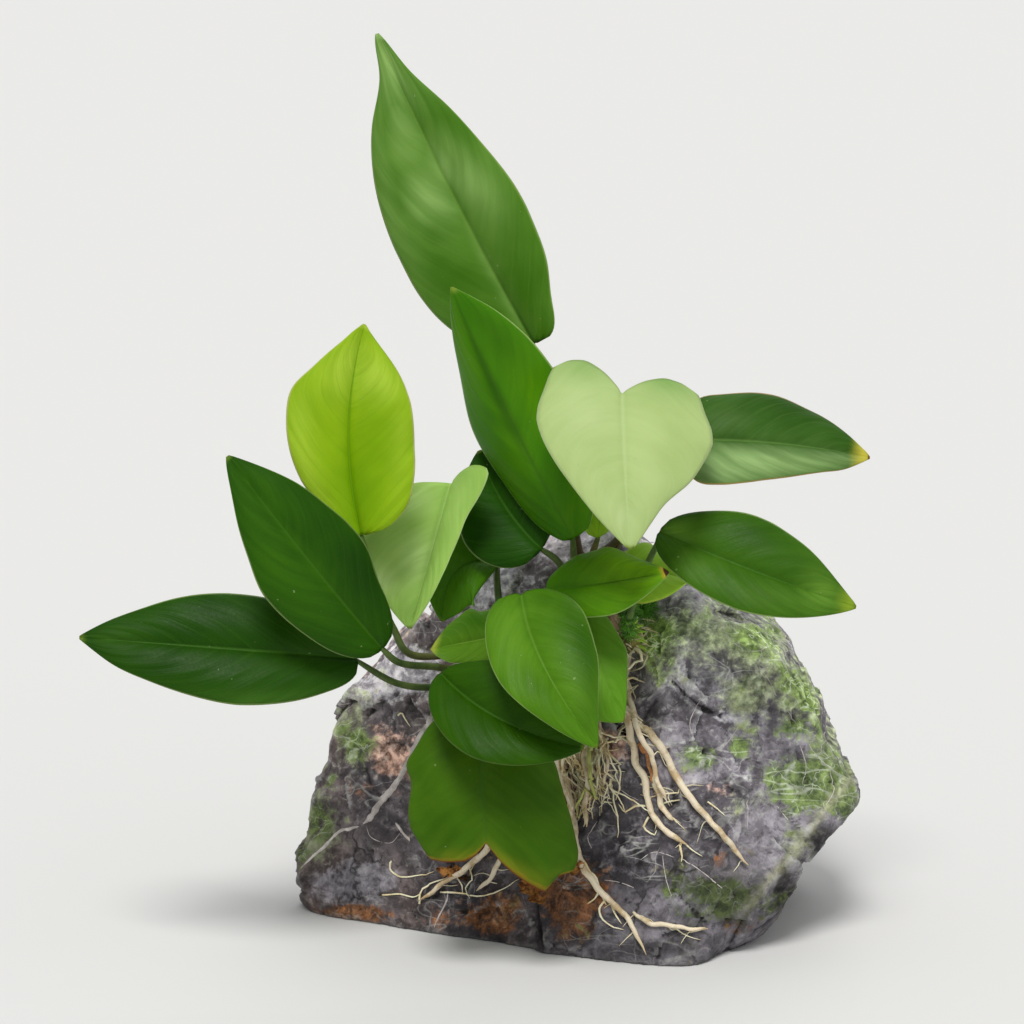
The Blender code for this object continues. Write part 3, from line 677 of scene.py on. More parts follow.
class LeafLook(NamedTuple):
    """Colours of one blade.

    A zone, one of the lighter zones or of shades, gives its place across (-1 on the left to 1) and along (0
    at the base to 1), its radii across and along, and how far the blade turns to the lighter colour or to
    shade there. The lighter zones are partly the blade's own paler tone and partly painted light: a painted
    sheen along the side veins, and painted light where a shadow falls. The shades are partly the blade's own
    darker tone and partly painted shade. The colour tip starts at tip_from along the blade and is full after
    tip_soft more, and the brown end starts at end_from, which is past the tip for a blade without one. The
    rim is a thin pale line around the edge, partly the blade's own pale margin and partly a painted edge
    highlight.
    """

    deep: tuple
    light: tuple
    vein: tuple
    vein_share: float = 0.3
    glow: tuple = (0.13, 0.28, 0.04)
    glows: tuple = ()
    shade: tuple = (0.010, 0.045, 0.002)
    shades: tuple = ()
    tip: tuple = (0.22, 0.33, 0.04)
    tip_from: float = 0.97
    tip_soft: float = 0.04
    end: tuple = (0.10, 0.035, 0.010)
    end_from: float = 1.1
    rim: tuple = (0.30, 0.44, 0.14)
    rim_share: float = 0.5
    rough: float = 0.42


# The greens differ from blade to blade partly by each leaf's own tone and partly by painted light and shade,
# set blade by blade for how brightly each shows: a blade in shadow such as shaded was made darker, and the
# pale and heart blades, which face the light, and behind_right, which lies in shadow, were made paler.
MID = LeafLook((0.048, 0.140, 0.006), (0.085, 0.205, 0.014), (0.12, 0.25, 0.03))
DARK = LeafLook((0.014, 0.060, 0.001), (0.026, 0.090, 0.003), (0.040, 0.120, 0.008))
LOOKS = {
    "top": MID._replace(
        deep=(0.049, 0.153, 0.006), light=(0.095, 0.224, 0.022), glow=(0.244, 0.408, 0.11),
        glows=(
            (-0.30, 0.50, 0.30, 0.09, 0.85), (0.12, 0.57, 0.28, 0.08, 0.8), (-0.10, 0.92, 0.9, 0.13, 0.95),
            (-0.85, 0.55, 0.22, 0.32, 0.3), (0.45, 0.53, 0.35, 0.14, 0.65), (0.0, 0.22, 0.07, 0.25, 0.4),
            (-0.3, 0.72, 0.3, 0.12, 0.55),
        ),
        tip=(0.33, 0.52, 0.17), shade=(0.034, 0.125, 0.003),
        shades=(
            (0.60, 0.20, 0.40, 0.16, 0.6), (-0.42, 0.40, 0.22, 0.06, 0.6), (0.75, 0.75, 0.3, 0.2, 0.5),
            (-0.50, 0.27, 0.4, 0.12, 0.7),
        ),
    ),
    "tall": DARK._replace(
        deep=(0.036, 0.160, 0.0007), light=(0.058, 0.208, 0.0028), glow=(0.125, 0.330, 0.0030),
        glows=(
            (0.60, 0.58, 0.40, 0.2, 0.45), (0.75, 0.25, 0.25, 0.3, 0.5), (-0.6, 0.80, 0.5, 0.22, 0.45),
            (-0.15, 0.38, 0.3, 0.15, 0.45), (-0.6, 0.25, 0.4, 0.15, 0.35), (0.2, 0.08, 0.5, 0.08, 0.4),
        ),
        shade=(0.016, 0.070, 0.001),
        shades=(
            (-0.05, 0.62, 0.12, 0.35, 0.7), (-0.35, 0.14, 0.7, 0.16, 0.5), (0.55, 0.78, 0.4, 0.18, 0.5),
        ),
        rim_share=0.8,
    ),
    "shaded": DARK._replace(deep=(0.009, 0.047, 0.0008), light=(0.016, 0.073, 0.0016)),
    "low_back": DARK._replace(deep=(0.038, 0.138, 0.0027), light=(0.066, 0.198, 0.0054)),
    "yellow": LeafLook(
        (0.180, 0.340, 0.002), (0.260, 0.440, 0.006), (0.10, 0.25, 0.002), vein_share=0.36,
        glow=(0.40, 0.58, 0.05),
        glows=(
            (-0.25, 0.80, 0.7, 0.15, 0.75), (-0.80, 0.35, 0.25, 0.3, 0.6), (0.8, 0.5, 0.2, 0.4, 0.3),
            (0.45, 0.80, 0.5, 0.13, 0.9),
        ),
        shade=(0.13, 0.29, 0.001), shades=((0.10, 0.18, 0.5, 0.20, 0.7), (0.45, 0.5, 0.3, 0.3, 0.4)),
        rim=(0.50, 0.50, 0.20), rim_share=0.7, tip=(0.42, 0.55, 0.06),
    ),
    "pale": LeafLook(
        (0.250, 0.435, 0.080), (0.335, 0.540, 0.120), (0.40, 0.58, 0.18), vein_share=0.2,
        glow=(0.560, 0.780, 0.28),
        glows=((0.8, 0.66, 0.3, 0.10, 0.9), (0.2, 0.53, 0.22, 0.15, 0.7), (0.5, 0.12, 0.3, 0.10, 0.7)),
        shade=(0.120, 0.230, 0.035),
        shades=(
            (0.85, 0.38, 0.2, 0.12, 0.5), (0.4, 0.90, 0.8, 0.13, 0.65), (0.0, 0.4, 0.05, 0.5, 0.35),
            (0.55, 0.78, 0.2, 0.06, 0.4),
        ),
        rim=(0.45, 0.60, 0.28),
    ),
    "left_upper": DARK._replace(
        deep=(0.012, 0.058, 0.0005), light=(0.020, 0.082, 0.001), glow=(0.034, 0.120, 0.002),
        glows=((-0.45, 0.55, 0.4, 0.35, 0.65), (0.35, 0.75, 0.3, 0.2, 0.4), (0.0, 0.50, 0.14, 0.4, 0.8)),
        shade=(0.006, 0.036, 0.0005), shades=((0.70, 0.32, 0.45, 0.22, 0.7),),
    ),
    "left_lower": DARK._replace(
        deep=(0.009, 0.046, 0.0005), light=(0.016, 0.066, 0.001), glow=(0.040, 0.115, 0.010),
        glows=((-0.92, 0.35, 0.14, 0.25, 0.8), (0.1, 0.88, 0.6, 0.10, 0.5), (0.3, 0.15, 0.5, 0.10, 0.5)),
        shade=(0.006, 0.032, 0.0005), shades=((-0.4, 0.75, 0.5, 0.3, 0.3),),
    ),
    "heart": LeafLook(
        (0.320, 0.435, 0.150), (0.385, 0.500, 0.195), (0.42, 0.53, 0.25), vein_share=0.2,
        glow=(0.42, 0.53, 0.25), glows=((0.5, 0.3, 0.4, 0.2, 0.4), (0.1, 0.85, 0.5, 0.12, 0.35)),
        shade=(0.13, 0.28, 0.05), shades=((0.58, 0.0, 0.35, 0.11, 0.6), (-0.60, 0.0, 0.35, 0.09, 0.75)),
        rim=(0.40, 0.51, 0.25), rim_share=0.6, rough=0.6,
    ),
    "right_upper": DARK._replace(
        deep=(0.022, 0.076, 0.004), light=(0.040, 0.115, 0.012), glow=(0.250, 0.390, 0.140),
        glows=((0.62, 0.35, 0.42, 0.6, 0.9), (0.5, 0.8, 0.4, 0.2, 0.55), (-0.4, 0.25, 0.3, 0.1, 0.15)),
        shade=(0.012, 0.050, 0.002), shades=((-0.8, 0.58, 0.4, 0.25, 0.7),), vein=(0.10, 0.20, 0.04),
        tip=(0.46, 0.42, 0.05), tip_from=0.88, tip_soft=0.09, end=(0.22, 0.10, 0.02), end_from=0.985,
        rim=(0.36, 0.24, 0.07), rim_share=0.8,
    ),
    "right_lower": DARK._replace(
        deep=(0.026, 0.089, 0.0024), light=(0.041, 0.123, 0.0048), glow=(0.120, 0.255, 0.026),
        glows=(
            (0.5, 0.22, 0.45, 0.16, 0.3), (-0.3, 0.08, 0.38, 0.09, 1.0), (0.0, 0.84, 0.8, 0.12, 0.75),
            (0.55, 0.62, 0.4, 0.2, 0.3),
        ),
        shade=(0.014, 0.058, 0.001), shades=((-0.6, 0.42, 0.35, 0.18, 0.6),), tip=(0.20, 0.30, 0.02),
        tip_from=0.88, tip_soft=0.1, rim_share=0.7,
    ),
    "centre_right": MID._replace(
        deep=(0.048, 0.151, 0.0016), light=(0.080, 0.218, 0.0032), glow=(0.185, 0.403, 0.0064),
        glows=((-0.5, 0.75, 0.6, 0.25, 0.9), (0.4, 0.85, 0.5, 0.2, 0.6), (0.0, 0.97, 1.0, 0.06, 1.0)),
        shade=(0.016, 0.074, 0.0008), shades=((0.0, 0.18, 0.9, 0.25, 0.7),), vein=(0.035, 0.11, 0.003),
        vein_share=0.4, tip=(0.42, 0.30, 0.03), tip_from=0.930, tip_soft=0.045, end=(0.045, 0.018, 0.006),
        end_from=0.965,
    ),
    "behind_right": MID._replace(
        deep=(0.304, 0.593, 0.0276), light=(0.455, 0.773, 0.069), rim=(0.40, 0.34, 0.10),
    ),
    "front": MID._replace(
        deep=(0.051, 0.152, 0.0032), light=(0.084, 0.212, 0.0085), glow=(0.127, 0.278, 0.0207),
        glows=((0.45, 0.25, 0.4, 0.2, 0.4),), shade=(0.018, 0.070, 0.0013), vein_share=0.2,
        shades=(
            (-0.8, 0.50, 0.38, 0.42, 0.85), (0.45, 0.58, 0.3, 0.12, 0.35), (-0.4, 0.88, 0.4, 0.12, 0.4),
            (-0.55, 0.12, 0.3, 0.10, 0.45),
        ),
    ),
    "lower_right": MID._replace(
        deep=(0.080, 0.219, 0.0084), light=(0.130, 0.299, 0.0224), glow=(0.213, 0.412, 0.049),
        glows=((0.2, 0.45, 0.3, 0.2, 0.6),),
    ),
    "small_left": MID._replace(
        deep=(0.050, 0.136, 0.004), light=(0.084, 0.194, 0.010), vein=(0.17, 0.30, 0.04),
        shade=(0.022, 0.090, 0.002), shades=((0.60, 0.45, 0.45, 0.5, 0.8),), tip=(0.28, 0.33, 0.04),
        tip_from=0.88, tip_soft=0.10,
    ),
    "lower_centre": DARK._replace(
        deep=(0.017, 0.065, 0.0003), light=(0.026, 0.089, 0.0006), rim_share=0.15,
    ),
    "torn": DARK._replace(
        deep=(0.031, 0.092, 0.001), light=(0.054, 0.136, 0.004), glow=(0.17, 0.20, 0.010),
        glows=((-0.35, 0.97, 0.35, 0.06, 0.9), (0.40, 0.98, 0.30, 0.05, 0.8)), tip=(0.20, 0.17, 0.010),
        tip_from=0.965, tip_soft=0.02, end=(0.17, 0.05, 0.010), end_from=0.988, rim=(0.10, 0.17, 0.02),
        rim_share=0.3,
    ),
    "olive": MID._replace(deep=(0.283, 0.540, 0.019), light=(0.442, 0.738, 0.0427)),
}
STREAKS = 13  # across one blade, along its side veins
FINE_STREAKS = 62


def leaf_material(name, look, number, under):
    """The skin of one side of a blade; its streaks follow the side veins, partly a faint tone and partly a
    painted sheen.
    """
    name += "_under" if under else "_upper"
    shader = Shader(name, 0.08, Subsurface_Weight=0.05, Subsurface_Scale=0.001)
    across, along = shader.uv()
    side = shader.math("MULTIPLY_ADD", across, 2.0, -1.0)
    reach = shader.math("ABSOLUTE", side)
    place = shader.math("SUBTRACT", along, shader.times(reach, VEIN_SLOPE))
    place = shader.math("SUBTRACT", place, shader.times(shader.times(reach, reach), VEIN_CURVE))
    place = shader.math("ADD", place, shader.math("MULTIPLY_ADD", shader.noise(9), 0.05, -0.025))

    def streaks(count, drift):
        inputs = {"X": shader.times(place, count), "Y": shader.times(side, drift), "Z": float(number)}
        return shader.noise(1 / MM, 2, 0.5, 0.0, shader.add("ShaderNodeCombineXYZ", inputs).outputs[0])

    # Broad streaks along the side veins: partly a faint tone of the blade, partly a painted satin sheen; they
    # also raise the bump.
    vein_streaks_and_sheen = shader.ramp(streaks(STREAKS, 1.3), 0.30, 0.72)
    fine = streaks(FINE_STREAKS, 2.5)
    patches = shader.ramp(shader.noise(13, 2), 0.34, 0.68)
    grain = shader.noise(0.7, 4, 0.6)
    tone = shader.math("MULTIPLY_ADD", vein_streaks_and_sheen, 0.35, shader.times(patches, 0.65), clamp=True)
    colour = shader.mix(tone, look.deep, look.light)
    # The lighter zones, stronger on the streaks: the blade's paler tone with a painted sheen and painted
    # light.
    glow = shader.math("MULTIPLY_ADD", vein_streaks_and_sheen, 0.5, 0.65)
    glow = shader.math("MULTIPLY", shader.attribute("glow"), glow, clamp=True)
    colour = shader.mix(glow, colour, look.glow)
    # The shades: the blade's darker tone with painted shade.
    colour = shader.mix(shader.attribute("shade"), colour, look.shade)
    main = shader.math("PINGPONG", shader.math("MULTIPLY_ADD", place, SIDE_VEINS, VEIN_START), 0.5)
    main = shader.ramp(main, 0.42, 0.5)
    colour = shader.mix(shader.times(main, look.vein_share * 0.4), colour, look.vein)
    colour = shader.tint(colour, look.vein, fine, 0.45, 0.7, 0.0, 0.06)
    rib_half = shader.math("MULTIPLY_ADD", along, -0.018, 0.022)
    midrib = shader.ramp(shader.math("SUBTRACT", reach, rib_half), 0.0, 0.022, 1.0, 0.0)
    colour = shader.mix(shader.times(midrib, look.vein_share * 1.8), colour, look.vein)
    ragged = shader.math("MULTIPLY_ADD", shader.noise(3.5, 4, 0.6), 0.05, -0.025)
    to_tip = shader.math("ADD", along, ragged)
    colour = shader.tint(colour, look.tip, to_tip, look.tip_from, look.tip_from + look.tip_soft)
    colour = shader.tint(colour, look.end, along, look.end_from, look.end_from + 0.008)
    # A thin pale line around the edge: partly the blade's own pale margin, partly a painted edge highlight.
    to_edge = shader.math("ADD", reach, shader.times(ragged, 0.3))
    colour = shader.mix(shader.times(shader.ramp(to_edge, 0.965, 0.99), look.rim_share), colour, look.rim)
    colour = shader.tint(colour, (0.30, 0.42, 0.18), shader.noise(0.9, 0.0), 0.87, 0.89, 0.0, 0.4)
    if under:
        colour = shader.mix(0.4, colour, (0.12, 0.23, 0.05))
    height = shader.math("MULTIPLY_ADD", fine, 0.5, shader.times(grain, 0.3))
    height = shader.math("MULTIPLY_ADD", vein_streaks_and_sheen, 0.6, height)
    return shader.grainy(colour, grain, look.rough - 0.05, look.rough + 0.10, 0.09, height)


# ---------------------------------------------------------------- stone

VOXEL = 0.66
SAME_PLACE = 1e-5  # m; corners of the solid closer than this are one
FOOT_HEIGHT = 0.3
FOOT_BLEND = 1.5
HIGHEST = 0.45
SMALL_CHIPS = ((6.5, 0.20), (2.6, 0.16))  # size, tilt
THIN_LAYER = 4.6
CREASE_ROUNDS = 7
# The sides that the view doesn't reach have patches of noise of this size, this strong at most.
FAR_PATCH_SIZE = 26
FAR_PATCH_MOST = 0.55


def facet_normal(azimuth, elevation):
    turn, lift = math.radians(azimuth), math.radians(elevation)
    return Vector((math.cos(turn) * math.cos(lift), math.sin(turn) * math.cos(lift), math.sin(lift)))


def block_reach(block, direction):
    """How far a block of stone reaches in this direction; its edges are a little worn."""
    total = 0
    for azimuth, elevation, distance in block:
        facing = facet_normal(azimuth, elevation).dot(direction) / distance
        if facing > 0:
            total += facing**FACET_SHARPNESS
    return total ** (-1 / FACET_SHARPNESS)


def chip_height(point, size=CHIP_SIZE, tilt=CHIP_TILT):
    """The height of the chip that this point lies on, which is a plane of its own slope."""
    cell = noise.voronoi(point / size)[1][0]
    slope = Vector([noise.noise(cell * CHIP_SPREAD + Vector((0, 0, shift))) for shift in CHIP_SHIFTS])
    return slope.dot(point - cell * size) * tilt


def ledge_height(point):
    """How far the ledge at this point stands out of the surface, or lies back in it."""
    wander = LEDGE_WANDER * noise.noise(point / LUMP_SIZE)
    place = (point.dot(facet_normal(*LAYER_FACING)) + wander) / LEDGE_SPACING % 1
    rise = min(place / (1 - LEDGE_STEP), (1 - place) / LEDGE_STEP)
    strength = 0.5 + LEDGE_STRENGTH * noise.noise(point / LUMP_SIZE + Vector(CHIP_SHIFTS))
    return LEDGE_HEIGHT * (rise - 0.5) * min(max(strength, LEDGE_FAINTEST), 1)


def stone_surface(direction):
    """The point of the stone's surface in this direction from its centre."""
    reach = max(block_reach(LEFT_BLOCK, direction), block_reach(RIGHT_BLOCK, direction))
    point = STONE_CENTRE + direction * reach
    height = LUMP_HEIGHT * noise.fractal(point / LUMP_SIZE, 1.0, 2.0, LUMP_OCTAVES)
    height += chip_height(point) + ledge_height(point)
    for place, radius, rise in STONE_BUMPS:
        height += rise * math.exp(-(((point - Vector(place)).length / radius) ** 2))
    return point + direction * height


# Fine noise on the stone: height and size in mm, and octaves. The thin layers wander by a share of a layer
# over this many mm, and they show in patches.
ROLL = (0.30, 8, 3)
GRAIN = (0.10, 1.7, 2)
LAYER_WANDER = (1.1, 14)
LAYER_PATCHES = 19
LAYER_SHIFT = Vector((0, 40, 0))
LAYER_HEIGHT = 1.1


def roughness_at(point, height, size, octaves):
    return height * noise.fractal(point / size, 1.0, 2.0, octaves)


def fine_height(point):
    """The small shapes of the broken stone: chips on chips, thin layers and grain."""
    height = sum(chip_height(point, size, tilt) for size, tilt in SMALL_CHIPS)
    height += roughness_at(point, *ROLL) + roughness_at(point, *GRAIN)
    drift, size = LAYER_WANDER
    place = (point.dot(facet_normal(*LAYER_FACING)) / THIN_LAYER + drift * noise.noise(point / size)) % 1
    strength = max(0, noise.noise(point / LAYER_PATCHES + LAYER_SHIFT) + 0.1)
    return height + LAYER_HEIGHT * strength * (min(place / 0.85, (1 - place) / 0.15) - 0.6)


def seen(point):
    """Where a point in millimetres shows in the photographed view, in pixels."""
    offset = point - TARGET
    upward = offset.y * VIEW_SINE + offset.z * VIEW_COSINE
    depth = CAMERA_DISTANCE + offset.y * VIEW_COSINE - offset.z * VIEW_SINE
    return PHOTO_SIZE / 2 + FOCAL * offset.x / depth, PHOTO_SIZE / 2 - FOCAL * upward / depth


def line_distance(u, v, line):
    """The distance in pixels from each place to a line of pixel points."""
    best = np.full(u.shape, 1e9)
    for (a, b), (c, d) in zip(line, line[1:]):
        share = np.clip(((u - a) * (c - a) + (v - b) * (d - b)) / ((c - a) ** 2 + (d - b) ** 2), 0, 1)
        best = np.minimum(best, np.hypot(u - a - share * (c - a), v - b - share * (d - b)))
    return best


# Lines on the stone's front, as seen: pixel points, half-width in pixels, and height in mm.
RIDGES = ((((862, 766), (839, 792), (819, 817), (793, 855), (763, 886), (740, 919)), 5, 0.5),)
CRACKS = (
    (((671, 680), (684, 693), (703, 708), (721, 716)), 2.6, -1.1),
    (((672, 690), (681, 702), (686, 706)), 2.0, -0.6), (((681, 896), (695, 912), (707, 924)), 2.6, -0.9),
    (((534, 887), (537, 915), (541, 945)), 3.0, -1.0), (((395, 695), (378, 706), (367, 716)), 3.0, -0.9),
    (((365, 770), (372, 790), (385, 800)), 3.5, -0.9), (((462, 912), (474, 920), (486, 914)), 5.0, -1.4),
    (((655, 700), (645, 712), (641, 730)), 3.0, -0.7),
)
# Patches of a kind: centre and radii in pixels, and how strong they are. The dark patches are partly
# darker stone and partly painted shade, the deep ones are painted shade and the bright ones painted light,
# and the pale ones are partly paler stone and partly painted light.
PATCHES = {
    "wash": (
        (745, 635, 70, 44, 1.0), (800, 690, 56, 46, 1.0), (760, 690, 40, 40, 0.8), (835, 750, 36, 45, 0.9),
        (690, 625, 44, 26, 0.9), (722, 900, 50, 24, 0.35), (350, 735, 24, 50, 0.8), (316, 830, 26, 40, 1.0),
        (655, 640, 26, 34, 1.2), (785, 800, 60, 20, 0.6), (800, 850, 22, 30, 0.6), (385, 672, 30, 14, 0.4),
    ),
    "algae": (
        (806, 782, 44, 36, 1.35), (702, 754, 24, 16, 0.95), (738, 748, 12, 11, 1.0),
        (800, 690, 40, 34, 0.85), (850, 806, 18, 24, 1.0), (752, 636, 40, 26, 0.8), (795, 728, 40, 14, 0.8),
        (722, 898, 56, 24, 1.1), (352, 742, 22, 28, 0.9), (318, 820, 22, 22, 1.0), (298, 850, 12, 28, 0.9),
        (656, 640, 24, 34, 1.0), (690, 618, 34, 16, 0.6), (772, 690, 16, 40, 0.5), (345, 700, 12, 20, 0.7),
        (330, 775, 14, 18, 0.6),
    ),
    "brown": (
        (393, 754, 24, 28, 1.1), (350, 915, 38, 9, 1.5), (572, 898, 32, 28, 1.7), (605, 752, 32, 10, 0.8),
        (490, 918, 34, 18, 1.2), (718, 788, 18, 12, 0.6), (720, 857, 9, 12, 0.7), (740, 925, 24, 9, 0.6),
        (437, 915, 22, 16, 0.6), (362, 788, 16, 10, 0.7), (558, 872, 18, 20, 0.7), (380, 728, 16, 10, 0.6),
        (574, 770, 28, 30, 1.0), (606, 742, 22, 12, 1.0),
    ),
    "pale": (
        (352, 882, 46, 24, 1.1), (400, 672, 50, 26, 1.4), (740, 717, 28, 7, 0.9), (850, 752, 8, 24, 0.6),
        (740, 775, 18, 10, 0.5), (690, 680, 34, 26, 0.5), (444, 908, 12, 18, 0.6), (530, 935, 40, 14, 0.3),
        (480, 580, 60, 50, 0.8), (742, 940, 32, 6, 0.8), (540, 575, 50, 36, 0.5), (600, 560, 60, 30, 0.6),
        (760, 680, 12, 34, 0.6),
    ),
    "dark": (
        (628, 850, 66, 60, 0.95), (690, 920, 34, 24, 0.6), (505, 820, 60, 70, 0.8), (826, 842, 20, 20, 1.3),
        (784, 892, 12, 28, 1.2), (640, 950, 70, 14, 0.7), (590, 715, 40, 26, 0.8), (395, 828, 50, 30, 0.8),
        (480, 900, 60, 30, 0.8), (580, 940, 60, 16, 0.6), (430, 760, 22, 50, 0.6), (412, 712, 22, 10, 0.9),
        (366, 708, 14, 8, 0.9), (455, 890, 16, 14, 0.9), (350, 800, 24, 12, 0.6),
    ),
    # Painted shade: these patches darken places at the lower right and near the foot.
    "deep": (
        (728, 892, 44, 30, 1.2), (826, 842, 20, 18, 1.2), (786, 890, 12, 30, 1.2), (650, 952, 80, 12, 0.3),
        (690, 940, 40, 14, 0.6),
    ),
    # Painted light: these patches pale places that lie in shadow or face the light.
    "bright": (
        (660, 640, 22, 40, 1.3), (400, 674, 46, 26, 1.0), (393, 754, 24, 26, 0.9), (350, 916, 40, 12, 0.9),
        (460, 918, 60, 18, 0.7), (745, 638, 50, 30, 0.45), (815, 715, 30, 36, 0.5), (640, 850, 50, 40, 0.5),
        (395, 815, 50, 26, 0.6),
    ),
}
# Quartz veins: radius in mm, and the pixel points they run through.
QUARTZ = (
    (
        0.80,
        ((434, 702), (428, 722), (416, 744), (407, 764), (394, 786), (380, 803), (370, 818), (360, 826)),
    ),
    (0.38, ((360, 826), (350, 829), (342, 830), (334, 836), (325, 846), (312, 857), (300, 869))),
    (0.30, ((395, 822), (402, 832), (410, 842))), (0.20, ((448, 890), (446, 902), (438, 918), (434, 928))),
    (0.08, ((366, 826), (372, 838), (390, 843), (401, 832))),
    (0.07, ((758, 664), (770, 682), (777, 697), (790, 714), (803, 734))),
    (0.07, ((803, 734), (818, 757), (838, 774))), (0.07, ((741, 722), (731, 738), (720, 751))),
    (0.09, ((718, 620), (728, 637), (744, 650))), (0.08, ((760, 631), (763, 648), (758, 664))),
    (0.08, ((662, 848), (664, 868), (668, 886), (672, 897))),
    (0.10, ((680, 858), (694, 866), (710, 878), (724, 890))), (0.09, ((747, 797), (748, 812), (747, 830))),
    (0.08, ((777, 806), (784, 815), (790, 822))), (0.08, ((616, 786), (628, 795), (640, 801))),
    (0.08, ((602, 880), (618, 882), (635, 888))), (0.07, ((700, 700), (690, 722), (694, 742))),
    (0.10, ((640, 860), (655, 852), (676, 858))), (0.10, ((598, 820), (588, 836), (592, 850))),
    (0.08, ((820, 700), (826, 722), (822, 745), (828, 760))), (0.10, ((800, 745), (806, 765), (803, 785))),
    (0.10, ((830, 770), (834, 790), (824, 808))),
)


def averaged(values, edges, count):
    """Each point's value as the mean over the points that it shares an edge with."""
    total = np.zeros((count, values.shape[1]))
    for near, far in ((edges[:, 0], edges[:, 1]), (edges[:, 1], edges[:, 0])):
        for axis in range(values.shape[1]):
            total[:, axis] += np.bincount(near, values[far, axis], count)
    shares = np.bincount(edges.ravel(), minlength=count)
    return total / shares[:, None]


def coordinates(mesh, key):
    flat = np.zeros(len(mesh.vertices) * 3, np.float32)
    mesh.vertices.foreach_get(key, flat)
    return flat.reshape(-1, 3).astype(float)


def move(mesh, points):
    mesh.vertices.foreach_set("co", (points * MM).astype(np.float32).ravel())
    mesh.update()


def edge_pairs(mesh):
    edges = np.zeros(len(mesh.edges) * 2, np.int32)
    mesh.edges.foreach_get("vertices", edges)
    return edges.reshape(-1, 2)


def remeshed_stone():
    """The stone's solid as an even mesh, fine enough to carry the small shapes."""
    work = bmesh.new()
    work.from_mesh(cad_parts["stone"].data)
    bmesh.ops.remove_doubles(work, verts=work.verts, dist=SAME_PLACE)
    rough = bpy.data.meshes.new("stone_rough")
    work.to_mesh(rough)
    work.free()
    holder = bpy.data.objects.new("stone_rough", rough)
    bpy.context.scene.collection.objects.link(holder)
    remesh = holder.modifiers.new("fine", "REMESH")
    remesh.mode = "VOXEL"
    remesh.voxel_size = VOXEL * MM
    bpy.context.view_layer.update()
    mesh = bpy.data.meshes.new_from_object(holder.evaluated_get(bpy.context.evaluated_depsgraph_get()))
    bpy.data.objects.remove(holder)
    mesh.name = "stone_surface"
    return mesh


def patch_masks(points, u, v, facing):
    """How strongly each point lies in each kind of patch. Sides that the view doesn't reach get their own."""
    masks = {}
    for number, (kind, patches) in enumerate(PATCHES.items()):
        mask = np.zeros(len(points))
        for x, y, wide, high, strength in patches:
            shape = np.exp(-(((u - x) / wide) ** 2 + ((v - y) / high) ** 2)) * strength * facing
            mask = np.maximum(mask, shape)
        shift = Vector((5, 5, 17 * number))
        elsewhere = np.array([noise.noise(Vector(point) / FAR_PATCH_SIZE + shift) for point in points])
        masks[kind] = np.maximum(mask, (1 - facing) * np.clip(elsewhere * 1.1 + 0.1, 0, FAR_PATCH_MOST))
    return masks


def make_stone():
    """The stone's surface, and on each point how high it stands out and in which patches it lies."""
    mesh = remeshed_stone()
    points = coordinates(mesh, "co") / MM
    foot = points[:, 2] < FOOT_HEIGHT
    rise = np.clip(points[:, 2] / FOOT_BLEND, 0, 1)[:, None]
    target = np.array([stone_surface((Vector(point) - STONE_CENTRE).normalized()) for point in points])
    points += (target - points) * rise
    points[:, 2] = np.maximum(points[:, 2], 0)
    move(mesh, points)
    normals = coordinates(mesh, "normal")
    u, v = np.array([seen(Vector(point)) for point in points]).T
    facing = np.clip((normals @ np.array([0, -VIEW_COSINE, VIEW_SINE]) - 0.02) / 0.25, 0, 1)
    height = np.array([fine_height(Vector(point)) for point in points])
    ridge = np.zeros(len(points))
    for line, width, lift in RIDGES + CRACKS:
        shape = np.exp(-((line_distance(u, v, line) / width) ** 2)) * facing
        height += lift * shape
        if lift > 0:
            ridge = np.maximum(ridge, shape)
    move(mesh, points + normals * (np.minimum(height, HIGHEST)[:, None] * rise))
    points = coordinates(mesh, "co") / MM
    points[:, 2] = np.maximum(points[:, 2], 0)
    points[foot, 2] = 0
    move(mesh, points)
    worn, edges = points, edge_pairs(mesh)
    for _ in range(CREASE_ROUNDS):
        worn = averaged(worn, edges, len(points))
    crest = ((points - worn) * coordinates(mesh, "normal")).sum(axis=1)
    for name, values in {"crest": crest, "ridge": ridge, **patch_masks(points, u, v, facing)}.items():
        put_values(mesh, name, values)
    mesh.polygons.foreach_set("use_smooth", [True] * len(mesh.polygons))
    mesh.materials.clear()
    mesh.materials.append(stone_material())
    add_piece("stone_surface", mesh, "stone", "stone")
    return mesh


def surface_tree(mesh):
    return BVHTree.FromPolygons([vertex.co for vertex in mesh.vertices],
                                [tuple(face.vertices) for face in mesh.polygons])


def stone_at(tree, u, v):
    """The point of the stone's surface that shows at this pixel."""
    start = TARGET + Vector((0, -VIEW_COSINE, VIEW_SINE)) * CAMERA_DISTANCE
    heading = Vector((0, VIEW_COSINE, -VIEW_SINE))
    heading += Vector((1, 0, 0)) * ((u - PHOTO_SIZE / 2) / FOCAL)
    heading += Vector((0, VIEW_SINE, VIEW_COSINE)) * ((PHOTO_SIZE / 2 - v) / FOCAL)
    return tree.ray_cast(start * MM, heading.normalized())[0] / MM


def creeping_line(tree, pixels, clearance, step=0.9):
    """A line over the stone's surface through these pixels, this far clear of it."""
    guide = [stone_at(tree, u, v) for u, v in pixels]
    line = []
    for place in smooth_route(guide, max(3, round(route_length(guide) / step))):
        nearest, normal, _, _ = tree.find_nearest(place * MM)
        line.append(nearest / MM + normal * clearance)
    return line


QUARTZ_SUNK = 0.3  # the share of its radius
QUARTZ_STEP = 0.5


